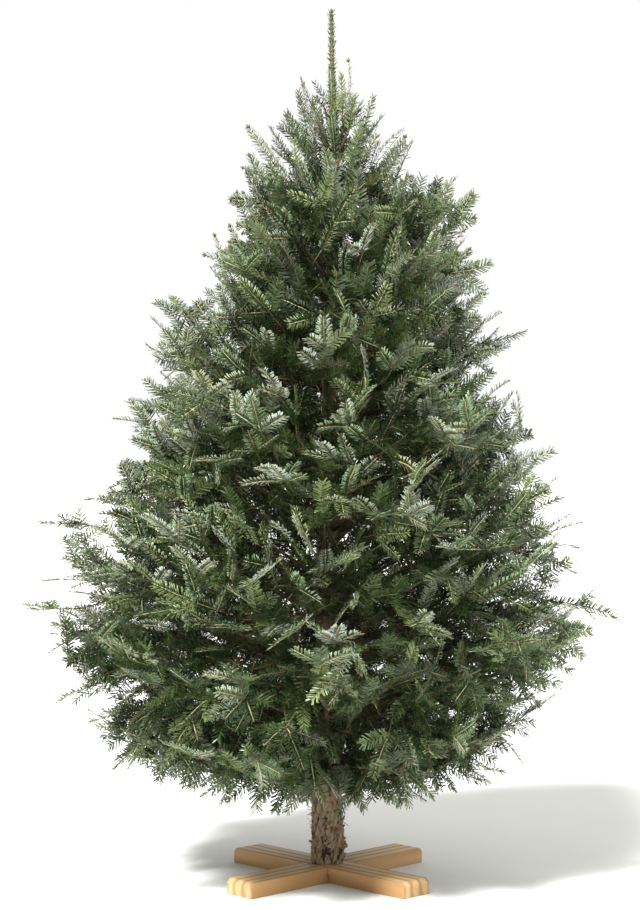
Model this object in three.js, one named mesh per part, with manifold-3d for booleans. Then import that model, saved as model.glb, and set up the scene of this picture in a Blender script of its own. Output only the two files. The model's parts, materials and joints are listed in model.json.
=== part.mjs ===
// A cut fir tree, 2.13 m from its sawn foot to the tip of its leader, standing on a plain cross of two boards.
// Millimetres, +Z up. The origin is the centre of the stand's underside, and the tree's front faces -Y.
import * as THREE from "three";
import { mergeVertices } from "three/addons/utils/BufferGeometryUtils.js";
import Module from "manifold-3d";

const TREE_HEIGHT = 2130;
const FIT_GAP = 0.3; // between pieces that touch

// The stand: two boards of one size, half-lapped into a cross that lies flat on the floor.
const BOARD_LENGTH = 600;
const BOARD_WIDTH = 89;
const BOARD_HEIGHT = 38;
const BOARD_END_CHAMFER = 9;
const STAND_TURN = Math.PI / 4; // the arms point between front and sides

// The trunk, whose radius shrinks from the butt to the leader.
const BUTT_RADIUS = 39;
const LEADER_RADIUS = 2.4;
const TAPER = 0.95;
const ROOT_FLARE = 1.5;
const ROOT_FLARE_HEIGHT = 120;
const FOOT_TRIM = 5; // the saw cut's edge is pared back
const TRUNK_LEAN = 8;
const TRUNK_SWAY = 6;
const TRUNK_OVAL = 0.035;
const TRUNK_SIDES = 14;
const TRUNK_RINGS = 20;
const BUD_RADIUS = 5;
const BUD_LENGTH = 16;

// The tiers of boughs, from the lowest up. Heights are above the foot: root is where the boughs leave the trunk,
// and tip is how high their ends are. reach is the tip's distance from the trunk, and skew the share by which the
// right side reaches further. bow above 1 lets a bough run out low before it sweeps up. inner is where its
// needles begin, and 0 is close to the bark.
const TIERS = [
  { root: 236, tip: 435, reach: 680, skew: -0.08, bow: 2.2, masses: 6, inner: 118 },
  { root: 350, tip: 660, reach: 790, skew: -0.03, bow: 1.7, masses: 6, inner: 92 },
  { root: 486, tip: 880, reach: 715, skew: -0.1, bow: 1.5, masses: 6, inner: 0 },
  { root: 650, tip: 1025, reach: 650, skew: 0.02, bow: 1.35, masses: 5, inner: 0 },
  { root: 836, tip: 1180, reach: 610, skew: 0.02, bow: 1.3, masses: 5, inner: 0 },
  { root: 1026, tip: 1365, reach: 490, skew: 0.03, bow: 1.25, masses: 4, inner: 0 },
  { root: 1212, tip: 1535, reach: 430, skew: 0.15, bow: 1.2, masses: 4, inner: 0 },
  { root: 1398, tip: 1722, reach: 345, skew: 0.22, bow: 1.2, masses: 3, inner: 0 },
  { root: 1578, tip: 1848, reach: 225, skew: 0.08, bow: 1.15, masses: 3, inner: 0 },
  { root: 1752, tip: 1972, reach: 122, skew: 0.14, bow: 1.1, masses: 2, inner: 0 },
];
const TIER_TURN = 0.5; // each tier is turned by this share of a mass against the one below
const FRONT = -Math.PI / 2;
const FRONT_GAP = 96; // the lowest tier parts here, where the trunk shows

// A mass of needles: a fan that is thick near the trunk and thin at its rim, with three tips where its main bough
// and its two strongest side boughs end.
const FAN = { cellsAcross: 6, cellsOut: 4, layers: 2 };
const SIDE_GAP = 13;
const LAYER_GAP = 12;
const BARK_GAP = 6;
const MOST_HALF_THICKNESS = 105;
const RIM_SHARE = 0.72;
const RIM_STEP = 0.07; // how much further its edge reaches halfway up than along its top and bottom
const SKIRT = 74; // how far the lowest needles hang under their boughs
const LEAST_PUFF = 0.68;
const TIP_LIFT = 0.25;
const EDGE_WAVE = 0.09;
const TIP_DEPTH = 0.2;
const SHOULDER = 0.14; // how much shorter a fan's sides are than its middle
const LEAST_MASS_REACH = 0.92;

// The bare stretch of each low bough, between the trunk and its needles.
const BOUGH_TIERS = 2;
const BOUGH_ROOT_RADIUS = 12.5;
const BOUGH_TAPER = 3.5;
const BOUGH_SIDES = 9;
const BOUGH_STEPS = 4;
const BOUGH_START = 12; // inside the trunk, before its root is cut to the bark
const BOUGH_END_GAP = 2; // its end is square to its slope, and so stops just short of the needles

const BARK = new THREE.MeshStandardMaterial({ color: 0x6b5c4b, roughness: 0.92, metalness: 0 });
const NEEDLES = new THREE.MeshStandardMaterial({ color: 0x41552f, roughness: 0.55, metalness: 0 });
const BOARD_WOOD = new THREE.MeshStandardMaterial({ color: 0xb8925f, roughness: 0.7, metalness: 0 });

const wasm = await Module();
wasm.setup();

function named(name, geometry, material) {
  const mesh = new THREE.Mesh(geometry, material);
  mesh.name = name;
  return mesh;
}

// A fixed number from 0 to 1 for each set of whole or broken numbers.
function uneven(...keys) {
  const mixed = keys.reduce((sum, key, i) => sum + key * [12.9898, 78.233, 37.719, 53.137][i], 4.1);
  const waved = Math.sin(mixed) * 43758.5453;
  return waved - Math.floor(waved);
}

// Moves each vertex of a geometry to the place that a function gives it.
function reshape(geometry, place) {
  const position = geometry.getAttribute("position");
  const point = new THREE.Vector3();
  for (let i = 0; i < position.count; i++) {
    const moved = place(point.fromBufferAttribute(position, i));
    position.setXYZ(i, moved.x, moved.y, moved.z);
  }
  geometry.computeVertexNormals();
  return geometry;
}

function solidFrom(geometry) {
  const bare = geometry.clone();
  bare.deleteAttribute("normal");
  bare.deleteAttribute("uv");
  const merged = mergeVertices(bare, 1e-3);
  const vertProperties = new Float32Array(merged.getAttribute("position").array);
  const triVerts = new Uint32Array(merged.index.array);
  return new wasm.Manifold(new wasm.Mesh({ numProp: 3, vertProperties, triVerts }));
}

function geometryFrom(solid) {
  const mesh = solid.getMesh();
  const geometry = new THREE.BufferGeometry();
  geometry.setAttribute("position", new THREE.BufferAttribute(mesh.vertProperties, 3));
  geometry.setIndex(new THREE.BufferAttribute(mesh.triVerts, 1));
  geometry.computeVertexNormals();
  return geometry;
}

// The trunk's centre at a height above the foot.
function trunkCentre(height) {
  const share = height / TREE_HEIGHT;
  const x = TRUNK_LEAN * share - TRUNK_SWAY * Math.sin(2 * Math.PI * share);
  return new THREE.Vector3(x, 0, height);
}

function trunkRadius(height) {
  const left = Math.max(0, 1 - height / TREE_HEIGHT);
  const flare = ROOT_FLARE * Math.exp(-height / ROOT_FLARE_HEIGHT);
  return LEADER_RADIUS + (BUTT_RADIUS - LEADER_RADIUS) * left ** TAPER + flare;
}

// The trunk from its flat cut to its top bud, or a sleeve that stands clear of it by extra.
function trunkGeometry(extra = 0) {
  const profile = [new THREE.Vector2(0, 0)];
  profile.push(new THREE.Vector2(trunkRadius(0) - FOOT_TRIM + extra, 0));
  const top = TREE_HEIGHT - BUD_LENGTH;
  for (let ring = 0; ring <= TRUNK_RINGS; ring++) {
    const height = FOOT_TRIM + (top - FOOT_TRIM) * (ring / TRUNK_RINGS) ** 1.25;
    profile.push(new THREE.Vector2(trunkRadius(height) + extra, height));
  }
  profile.push(new THREE.Vector2(BUD_RADIUS + extra, top + BUD_LENGTH * 0.4));
  profile.push(new THREE.Vector2(0, TREE_HEIGHT));
  const lathe = new THREE.LatheGeometry(profile, TRUNK_SIDES);
  return reshape(lathe, (p) => {
    const around = Math.atan2(-p.z, p.x);
    const oval = 1 + TRUNK_OVAL * Math.cos(2 * around);
    return trunkCentre(p.y).add(new THREE.Vector3(p.x * oval, -p.z * oval, 0));
  });
}

// How far a tier's bough tips are from the trunk, in one direction.
function reachOf(tier, around) {
  return tier.reach * (1 + tier.skew * Math.cos(around));
}

// A tier's bough height at a distance from the trunk, in one direction.
function boughHeight(tier, distance, around) {
  return tier.root + (tier.tip - tier.root) * (distance / reachOf(tier, around)) ** tier.bow;
}

// Half of a tier's thickness above (side 1) or below (side -1) its boughs, up to the next tier's share.
function halfThickness(level, side, distance, around) {
  const next = TIERS[level + side];
  if (!next) return side < 0 ? SKIRT : MOST_HALF_THICKNESS;
  const apart = Math.abs(boughHeight(next, distance, around) - boughHeight(TIERS[level], distance, around));
  return Math.min((apart - LAYER_GAP) / 2, MOST_HALF_THICKNESS);
}

// The direction of the edge between mass k and mass k - 1 of a tier, which wanders on its way out.
function edgeDirection(level, k, distance) {
  const tier = TIERS[level];
  const span = (2 * Math.PI) / tier.masses;
  const out = distance / tier.reach;
  const wave = Math.sin(2 * Math.PI * (1.2 * out + uneven(level, k % tier.masses)));
  return FRONT + (k + (level % 2) * TIER_TURN) * span + EDGE_WAVE * span * out * wave;
}

// How far out a mass reaches across its fan: across runs from -1 to 1, with a tip at 0 and at two thirds.
function fanReach(level, k, across) {
  const betweenTips = 0.5 - 0.5 * Math.cos(3 * Math.PI * across);
  const own = THREE.MathUtils.lerp(LEAST_MASS_REACH, 1, uneven(level, k, 5));
  return own * (1 - TIP_DEPTH * betweenTips - SHOULDER * across ** 2 - 0.08 * uneven(level, k, across));
}

function foliageMass(level, k) {
  const tier = TIERS[level];
  const inner = tier.inner || trunkRadius(tier.root) + BARK_GAP;
  const fan = new THREE.BoxGeometry(1, 1, 2, FAN.cellsAcross, FAN.cellsOut, FAN.layers);
  return reshape(fan, (p) => {
    const across = -2 * p.x;
    const out = p.y + 0.5;
    const side = p.z;
    const whole = reachOf(tier, edgeDirection(level, k + 0.5, 0)) * fanReach(level, k, across);
    const distance = inner + (whole * (1 - RIM_STEP * Math.abs(side)) - inner) * out;
    const gapAt = (edge) => (level === 0 && edge % tier.masses === 0 ? FRONT_GAP : SIDE_GAP) / 2 / distance;
    const from = edgeDirection(level, k, distance) + Math.asin(Math.min(0.9, gapAt(k)));
    const to = edgeDirection(level, k + 1, distance) - Math.asin(Math.min(0.9, gapAt(k + 1)));
    const around = THREE.MathUtils.lerp(from, to, (across + 1) / 2);
    const thinned = 1 - (1 - RIM_SHARE) * out ** 3;
    const puff = THREE.MathUtils.lerp(LEAST_PUFF, 1, uneven(level * 7 + k, across, out, side));
    const lift = TIP_LIFT * (2 * uneven(level, k, across, 7) - 1) * out ** 3;
    const half = halfThickness(level, Math.sign(side + lift), distance, around);
    const height = boughHeight(tier, distance, around) + half * (side * thinned * puff + lift);
    const spread = new THREE.Vector3(distance * Math.cos(around), distance * Math.sin(around), 0);
    return trunkCentre(tier.root).setZ(height).add(spread);
  });
}

// A limb that follows a curve from its start to its end, round in section.
function limb(curve, startRadius, endRadius) {
  const rod = new THREE.CylinderGeometry(endRadius, startRadius, 1, BOUGH_SIDES, BOUGH_STEPS);
  return reshape(rod, (p) => {
    const share = THREE.MathUtils.clamp(p.y + 0.5, 0, 1);
    const along = curve.getTangent(share);
    const level = new THREE.Vector3().crossVectors(along, new THREE.Vector3(0, 0, 1)).normalize();
    const upright = new THREE.Vector3().crossVectors(level, along);
    return curve.getPoint(share).addScaledVector(level, p.x).addScaledVector(upright, p.z);
  });
}

// The bare stretch of a low bough, its root cut to fit the bark.
function boughGeometry(level, k, barkSleeve) {
  const tier = TIERS[level];
  const around = (edgeDirection(level, k, 0) + edgeDirection(level, k + 1, 0)) / 2;
  const outward = new THREE.Vector3(Math.cos(around), Math.sin(around), 0);
  const at = (distance) =>
    trunkCentre(tier.root).setZ(boughHeight(tier, distance, around)).addScaledVector(outward, distance);
  const end = tier.inner - BOUGH_END_GAP;
  const route = new THREE.CatmullRomCurve3([at(BOUGH_START), at((BOUGH_START + end) / 2), at(end)]);
  const rootRadius = BOUGH_ROOT_RADIUS - 1.5 * uneven(level, k, 9);
  const solid = solidFrom(limb(route, rootRadius, rootRadius - BOUGH_TAPER)).subtract(barkSleeve);
  return geometryFrom(solid);
}

// A board of the cross, along X, with its lap notch on top (side 1) or underneath (side -1).
function boardGeometry(side) {
  const end = BOARD_LENGTH / 2;
  const notch = BOARD_WIDTH / 2 + FIT_GAP;
  const low = 0;
  const high = BOARD_HEIGHT;
  const lap = (BOARD_HEIGHT - side * FIT_GAP) / 2;
  const outline = new THREE.Shape();
  outline.moveTo(-end, low);
  if (side < 0) [[-notch, low], [-notch, lap], [notch, lap], [notch, low]].forEach(([x, z]) => outline.lineTo(x, z));
  outline.lineTo(end, low);
  outline.lineTo(end, high - BOARD_END_CHAMFER);
  outline.lineTo(end - BOARD_END_CHAMFER, high);
  if (side > 0) [[notch, high], [notch, lap], [-notch, lap], [-notch, high]].forEach(([x, z]) => outline.lineTo(x, z));
  outline.lineTo(-end + BOARD_END_CHAMFER, high);
  outline.lineTo(-end, high - BOARD_END_CHAMFER);
  const board = new THREE.ExtrudeGeometry(outline, { depth: BOARD_WIDTH, bevelEnabled: false });
  return board.translate(0, 0, -BOARD_WIDTH / 2).rotateX(Math.PI / 2);
}

const stand = new THREE.Group();
const lowerBoard = named("stand_board_lower", boardGeometry(1), BOARD_WOOD);
const upperBoard = named("stand_board_upper", boardGeometry(-1), BOARD_WOOD);
upperBoard.rotation.z = Math.PI / 2;
stand.add(lowerBoard, upperBoard);
stand.rotation.z = STAND_TURN;

const tree = new THREE.Group();
tree.position.z = BOARD_HEIGHT + FIT_GAP;
tree.add(named("trunk", trunkGeometry(), BARK));
const barkSleeve = solidFrom(trunkGeometry(FIT_GAP));
TIERS.forEach((tier, level) => {
  for (let k = 0; k < tier.masses; k++) {
    const place = `tier_${level + 1}_${"abcdef"[k]}`;
    tree.add(named(`foliage_${place}`, foliageMass(level, k), NEEDLES));
    if (level < BOUGH_TIERS) tree.add(named(`bough_${place}`, boughGeometry(level, k, barkSleeve), BARK));
  }
});

const fir = new THREE.Group();
fir.add(stand, tree);
export default fir;
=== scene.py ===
"""A cut fir Christmas tree on a plain cross of two boards, grown and dressed over its CAD frame.

The trunk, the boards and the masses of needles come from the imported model. Every mass is replaced by
boughs that leave the trunk where the mass does, fork year by year as a fir's do, and carry needles, twigs
and buds out to the mass's own surface. All lengths are metres, and every random choice is seeded.
"""

import json
import logging
import math
from collections import defaultdict
from dataclasses import dataclass, field
from enum import Enum
from functools import partial
from typing import Callable, Iterable, Optional, Sequence

import bpy
import numpy as np
from mathutils import Matrix, Vector
from mathutils.bvhtree import BVHTree

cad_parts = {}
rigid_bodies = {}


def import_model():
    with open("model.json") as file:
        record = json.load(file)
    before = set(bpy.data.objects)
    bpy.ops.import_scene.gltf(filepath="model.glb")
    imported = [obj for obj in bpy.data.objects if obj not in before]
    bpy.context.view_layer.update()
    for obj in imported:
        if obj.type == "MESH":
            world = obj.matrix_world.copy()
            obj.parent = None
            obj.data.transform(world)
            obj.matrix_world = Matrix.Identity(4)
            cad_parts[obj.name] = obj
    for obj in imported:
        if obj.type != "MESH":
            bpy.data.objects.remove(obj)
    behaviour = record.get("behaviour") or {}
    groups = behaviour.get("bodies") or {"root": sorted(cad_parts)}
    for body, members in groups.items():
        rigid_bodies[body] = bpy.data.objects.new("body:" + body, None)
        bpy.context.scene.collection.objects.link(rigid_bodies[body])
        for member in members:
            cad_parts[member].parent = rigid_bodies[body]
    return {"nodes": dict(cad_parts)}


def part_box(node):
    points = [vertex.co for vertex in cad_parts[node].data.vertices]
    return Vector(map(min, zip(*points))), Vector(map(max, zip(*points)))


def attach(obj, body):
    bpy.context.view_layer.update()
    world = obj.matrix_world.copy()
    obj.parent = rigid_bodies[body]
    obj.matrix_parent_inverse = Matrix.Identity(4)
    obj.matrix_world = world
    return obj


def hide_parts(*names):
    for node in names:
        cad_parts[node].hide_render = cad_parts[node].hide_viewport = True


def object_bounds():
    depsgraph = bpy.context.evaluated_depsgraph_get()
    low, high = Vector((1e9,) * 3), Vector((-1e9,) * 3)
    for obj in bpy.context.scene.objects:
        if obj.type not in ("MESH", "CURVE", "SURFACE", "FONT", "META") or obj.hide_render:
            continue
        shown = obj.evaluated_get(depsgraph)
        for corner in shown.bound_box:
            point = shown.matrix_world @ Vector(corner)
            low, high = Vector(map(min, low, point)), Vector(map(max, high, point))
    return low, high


LOG = logging.getLogger("fir")
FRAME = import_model()
CAD_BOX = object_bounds()
MM = 0.001
UP = Vector((0.0, 0.0, 1.0))
# the two sides of a thin blade with four corners; the first two faces are its top
BLADE_FACES = np.array([[0, 1, 2], [0, 2, 3], [1, 0, 3], [1, 3, 2]])
GOLDEN_ANGLE = 2.39996  # radians; shoots that follow one another by it stand evenly all round


# ---- Shared helpers ----


def linear(hex_colour: str) -> tuple[float, float, float, float]:
    """Turns an sRGB hex colour into linear light.

    Args:
        hex_colour: six hex digits, with or without a leading hash.

    Returns:
        Red, green, blue and an alpha of one.
    """
    digits = hex_colour.lstrip("#")
    channels = [int(digits[i : i + 2], 16) / 255 for i in (0, 2, 4)]
    curved = [c / 12.92 if c <= 0.04045 else ((c + 0.055) / 1.055) ** 2.4 for c in channels]
    return curved[0], curved[1], curved[2], 1.0


def unit(v: Vector) -> Vector:
    """Returns the vector at length one."""
    return v.normalized()


def turned(v: Vector, axis: Vector, degrees: float) -> Vector:
    """Returns a vector turned about an axis."""
    return Matrix.Rotation(math.radians(degrees), 3, axis) @ v


def square_to(v: Vector, along: Vector) -> Vector:
    """Returns the part of a vector that is square to a direction, at length one."""
    rest = v - along * v.dot(along)
    return rest.normalized() if rest.length > 1e-6 else along.orthogonal().normalized()


def deselect() -> None:
    """Leaves edit mode and deselects every object."""
    if bpy.context.object and bpy.context.object.mode != "OBJECT":
        bpy.ops.object.mode_set(mode="OBJECT")
    bpy.ops.object.select_all(action="DESELECT")


def settle(obj: bpy.types.Object) -> bpy.types.Object:
    """Puts an object's place, turn and scale into its mesh.

    Args:
        obj: a finished piece.

    Returns:
        The same piece, at the origin.
    """
    deselect()
    obj.select_set(True)
    bpy.context.view_layer.objects.active = obj
    bpy.ops.object.transform_apply(location=True, rotation=True, scale=True)
    return obj


def mesh_from_arrays(
    name: str, points: np.ndarray, faces: np.ndarray, slots: Optional[np.ndarray] = None
) -> bpy.types.Object:
    """Makes one mesh object from vertices and faces that all have the same number of corners.

    Args:
        name: the piece's name.
        points: vertices, n by 3.
        faces: vertex numbers, one row a face.
        slots: each face's material slot.

    Returns:
        The new object, linked to the scene.
    """
    mesh = bpy.data.meshes.new(name)
    corners = faces.shape[1]
    mesh.vertices.add(len(points))
    mesh.vertices.foreach_set("co", np.ascontiguousarray(points, np.float32).ravel())
    mesh.loops.add(faces.size)
    mesh.loops.foreach_set("vertex_index", np.ascontiguousarray(faces, np.int32).ravel())
    mesh.polygons.add(len(faces))
    mesh.polygons.foreach_set("loop_start", np.arange(0, faces.size, corners, dtype=np.int32))
    if slots is not None:
        mesh.polygons.foreach_set("material_index", np.ascontiguousarray(slots, np.int32))
    mesh.update(calc_edges=True)
    mesh.validate()
    obj = bpy.data.objects.new(name, mesh)
    bpy.context.scene.collection.objects.link(obj)
    return obj


def hand_over(obj: bpy.types.Object, stands_for: Iterable[str] = ()) -> bpy.types.Object:
    """Registers a finished piece with the frame and logs it.

    Args:
        obj: the piece.
        stands_for: the CAD nodes that it replaces.

    Returns:
        The same piece.
    """
    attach(obj, "root")
    nodes = list(stands_for)
    if nodes:
        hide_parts(*nodes)
    triangles = sum(len(p.vertices) - 2 for p in obj.data.polygons)
    LOG.info("%s: %d triangles", obj.name, triangles)
    return obj


# ---- Finishes ----


def node(
    tree: bpy.types.NodeTree, kind: str, links: Optional[dict] = None, **settings: object
) -> bpy.types.Node:
    """Adds one shader node.

    Args:
        tree: the node tree.
        kind: the node's type name.
        links: each input's name or number, with the output socket or the plain value that goes into it.
        settings: the node's own properties.

    Returns:
        The new node.
    """
    made = tree.nodes.new(kind)
    for key, value in settings.items():
        setattr(made, key, value)
    for key, value in (links or {}).items():
        if isinstance(value, bpy.types.NodeSocket):
            tree.links.new(value, made.inputs[key])
        else:
            made.inputs[key].default_value = value
    return made


def blank_material(name: str) -> tuple[bpy.types.Material, bpy.types.NodeTree, bpy.types.Node]:
    """Makes a material with one Principled shader.

    Args:
        name: the material's name.

    Returns:
        The material, its node tree and the shader.
    """
    material = bpy.data.materials.new(name)
    material.use_nodes = True
    tree = material.node_tree
    tree.nodes.clear()
    shader = node(tree, "ShaderNodeBsdfPrincipled")
    node(tree, "ShaderNodeOutputMaterial", {"Surface": shader.outputs[0]})
    return material, tree, shader


@dataclass(frozen=True)
class PlainFinish:
    """One plain colour and gloss, for small things that are dealt out in several tints."""

    name: str
    colour: str
    roughness: float
    ior: float = 1.45
    specular: float = 0.5

    def material(self) -> bpy.types.Material:
        """Builds the material.

        Returns:
            The material.
        """
        made, _, shader = blank_material(self.name)
        shader.inputs["Base Color"].default_value = linear(self.colour)
        shader.inputs["Roughness"].default_value = self.roughness
        shader.inputs["IOR"].default_value = self.ior
        shader.inputs["Specular IOR Level"].default_value = self.specular
        made.diffuse_color = linear(self.colour)
        return made


@dataclass(frozen=True)
class BarkFinish:
    """Fir bark, grown: dull grey-brown plates between dark seams, rust-brown where they flake; the seams'
    darkness in the mesh's grooves is partly the bark's own and partly painted shade.
    """

    name: str = "bark_fir"
    plate: str = "#73624b"
    worn: str = "#9a8a6f"
    rust: str = "#75502f"
    # the near-black laid in the mesh's grooves: partly the fissures' own colour, partly painted shade
    seam: str = "#2a2018"
    young: str = "#6a6440"
    fibre: float = 2.2 * MM
    stretch: float = 0.3  # fibres run up the trunk, so their pattern is drawn out that way
    patch: float = 38 * MM  # about one flaked patch
    lift: float = 2.2 * MM  # how far the fibres stand up

    def material(self) -> bpy.types.Material:
        """Builds the material; the dark seams follow the mesh's own grooves, partly as painted shade there.

        Returns:
            The material.
        """
        made, tree, shader = blank_material(self.name)
        place = node(tree, "ShaderNodeTexCoord").outputs["Object"]
        drawn = node(tree, "ShaderNodeMapping", {"Vector": place, "Scale": (1.0, 1.0, self.stretch)})
        fine = {"Vector": drawn.outputs[0], "Scale": 0.5 / self.fibre, "Detail": 6.0, "Roughness": 0.65}
        fibres = node(tree, "ShaderNodeTexNoise", fine).outputs["Fac"]
        broad = {"Vector": place, "Scale": 1 / self.patch, "Detail": 4.0}
        patches = node(tree, "ShaderNodeTexNoise", broad).outputs["Fac"]
        # how deep in the mesh's grooves a place is; the seam colour laid there is partly painted shade
        fissure_and_shade = node(tree, "ShaderNodeAttribute", attribute_name="fissure_and_shade").outputs["Fac"]
        youth = node(tree, "ShaderNodeAttribute", attribute_name="young").outputs["Fac"]
        ragged = node(tree, "ShaderNodeMath", {0: fibres, 1: 0.7, 2: fissure_and_shade}, operation="MULTIPLY_ADD")
        spans = ((fibres, 0.34, 0.66), (patches, 0.55, 0.7), (ragged.outputs[0], 0.5, 1.15))
        shares = [
            node(tree, "ShaderNodeMapRange", {"Value": value, "From Min": low, "From Max": high}).outputs[0]
            for value, low, high in spans
        ]
        colour = linear(self.plate)
        for share, hue in zip((*shares, youth), (self.worn, self.rust, self.seam, self.young)):
            mix = node(tree, "ShaderNodeMix", {0: share, 6: colour, 7: linear(hue)}, data_type="RGBA")
            colour = mix.outputs[2]
        tree.links.new(colour, shader.inputs["Base Color"])
        bump = node(tree, "ShaderNodeBump", {"Height": fibres, "Strength": 0.9, "Distance": self.lift})
        tree.links.new(bump.outputs[0], shader.inputs["Normal"])
        shader.inputs["Roughness"].default_value = 0.88
        shader.inputs["Specular IOR Level"].default_value = 0.3
        return made


@dataclass(frozen=True)
class PlanedWoodFinish:
    """Bare planed softwood: straight yellow-brown grain that runs along one board."""

    name: str
    along: float  # the board's turn about +Z, in degrees
    pale: str = "#c9a878"
    dark: str = "#ab8352"
    ring: float = 15 * MM  # twice as wide as real growth rings, so that they show from afar
    stretch: float = 0.06  # the grain is drawn out along the board
    lift: float = 0.4 * MM  # how far the fibres stand up

    def material(self) -> bpy.types.Material:
        """Builds the material.

        Returns:
            The material.
        """
        made, tree, shader = blank_material(self.name)
        place = node(tree, "ShaderNodeTexCoord").outputs["Object"]
        turn = (0, 0, math.radians(-self.along))
        lined = node(tree, "ShaderNodeMapping", {"Vector": place, "Rotation": turn})
        scale = (self.stretch, 1.0, 1.0)
        drawn = node(tree, "ShaderNodeMapping", {"Vector": lined.outputs[0], "Scale": scale})
        along = drawn.outputs[0]
        wander = node(tree, "ShaderNodeTexNoise", {"Vector": along, "Scale": 26.0, "Detail": 3.0})
        wave = {"Vector": along, "Scale": 1 / (self.ring * 6.0), "Distortion": 4.5, "Detail": 2.0}
        wave["Detail Scale"] = 1.0
        rings = node(tree, "ShaderNodeTexWave", wave, bands_direction="Y").outputs["Fac"]
        fibre = node(tree, "ShaderNodeTexNoise", {"Vector": along, "Scale": 900.0, "Detail": 2.0})
        tone = node(tree, "ShaderNodeValToRGB", {"Fac": rings})
        tone.color_ramp.elements[0].color = linear(self.pale)
        tone.color_ramp.elements[1].color = linear(self.dark)
        tone.color_ramp.elements[0].position = 0.35
        shade = node(
            tree, "ShaderNodeMapRange", {"Value": wander.outputs["Fac"], "To Min": 0.82, "To Max": 1.12}
        )
        tints = {0: 1.0, 6: tone.outputs[0], 7: shade.outputs[0]}
        tinted = node(tree, "ShaderNodeMix", tints, data_type="RGBA", blend_type="MULTIPLY")
        tree.links.new(tinted.outputs[2], shader.inputs["Base Color"])
        heights = {"Height": fibre.outputs["Fac"], "Strength": 0.25, "Distance": self.lift}
        tree.links.new(node(tree, "ShaderNodeBump", heights).outputs[0], shader.inputs["Normal"])
        rough = node(tree, "ShaderNodeMapRange", {"Value": rings, "To Min": 0.5, "To Max": 0.68})
        tree.links.new(rough.outputs[0], shader.inputs["Roughness"])
        return made


class Tint(Enum):
    """The tints that needles are dealt in, by how old they are and where they stand; the darkest is dealt
    mostly deep in the crown as painted shade.
    """

    DEEP = 0
    FOREST = 1
    BLUE = 2
    FRESH = 3
    OLIVE = 4


# A fir needle is waxy: dark and half glossy above, chalky blue-white beneath from its two pale bands.
# the darkest tint is dealt mostly deep in the crown, where it is painted shade
UPPER_FINISHES = {
    Tint.DEEP: PlainFinish("needle_top_dark_shade", "#223514", 0.42),
    Tint.FOREST: PlainFinish("needle_top_forest", "#3f542a", 0.34, specular=0.75),
    Tint.BLUE: PlainFinish("needle_top_blue", "#626e54", 0.3, specular=0.9),
    Tint.FRESH: PlainFinish("needle_top_fresh", "#6c7e4b", 0.34, specular=0.75),
    Tint.OLIVE: PlainFinish("needle_top_olive", "#757d4c", 0.4),
}
UNDER_FINISHES = {
    Tint.DEEP: PlainFinish("needle_under_dark_shade", "#41573a", 0.5),
    Tint.FOREST: PlainFinish("needle_under_forest", "#6b825a", 0.45),
    Tint.BLUE: PlainFinish("needle_under_blue", "#9aa694", 0.45),
    Tint.FRESH: PlainFinish("needle_under_fresh", "#929e80", 0.45),
    Tint.OLIVE: PlainFinish("needle_under_olive", "#9aa070", 0.45),
}


class StemAge(Enum):
    """The looks of a twig, from this year's to old wood."""

    NEW = 0
    LAST_YEAR = 1
    OLD = 2


# A fir's new stem is smooth and straw-yellow, turns rust-brown in its second year, and grey with age.
STEM_FINISHES = {
    StemAge.NEW: PlainFinish("stem_new_straw", "#a6a076", 0.6),
    StemAge.LAST_YEAR: PlainFinish("stem_rust", "#6a5737", 0.7),
    StemAge.OLD: PlainFinish("stem_old_grey", "#37332a", 0.85),
}
# Lifted flakes show rust-brown new bark or a grey weathered face.
FLAKE_FINISHES = (
    PlainFinish("flake_rust", "#6b4a2e", 0.85),
    PlainFinish("flake_grey", "#8f7d69", 0.9),
    PlainFinish("flake_dark", "#453527", 0.9),
)
# Needles that died on the stem turn fox-brown, then dull brown.
DEAD_FINISHES = (
    PlainFinish("needle_dead_fox", "#86602f", 0.7),
    PlainFinish("needle_dead_brown", "#5a4229", 0.75),
)
# A freshly sawn end is pale against the bark.
CUT_FINISH = PlainFinish("cut_wood_pale", "#a58a63", 0.8)
# A winter bud is sealed with brown resin, which glints a little.
BUD_FINISH = PlainFinish("bud_resin", "#5f5138", 0.45)


# ---- The frame's own shapes ----


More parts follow.
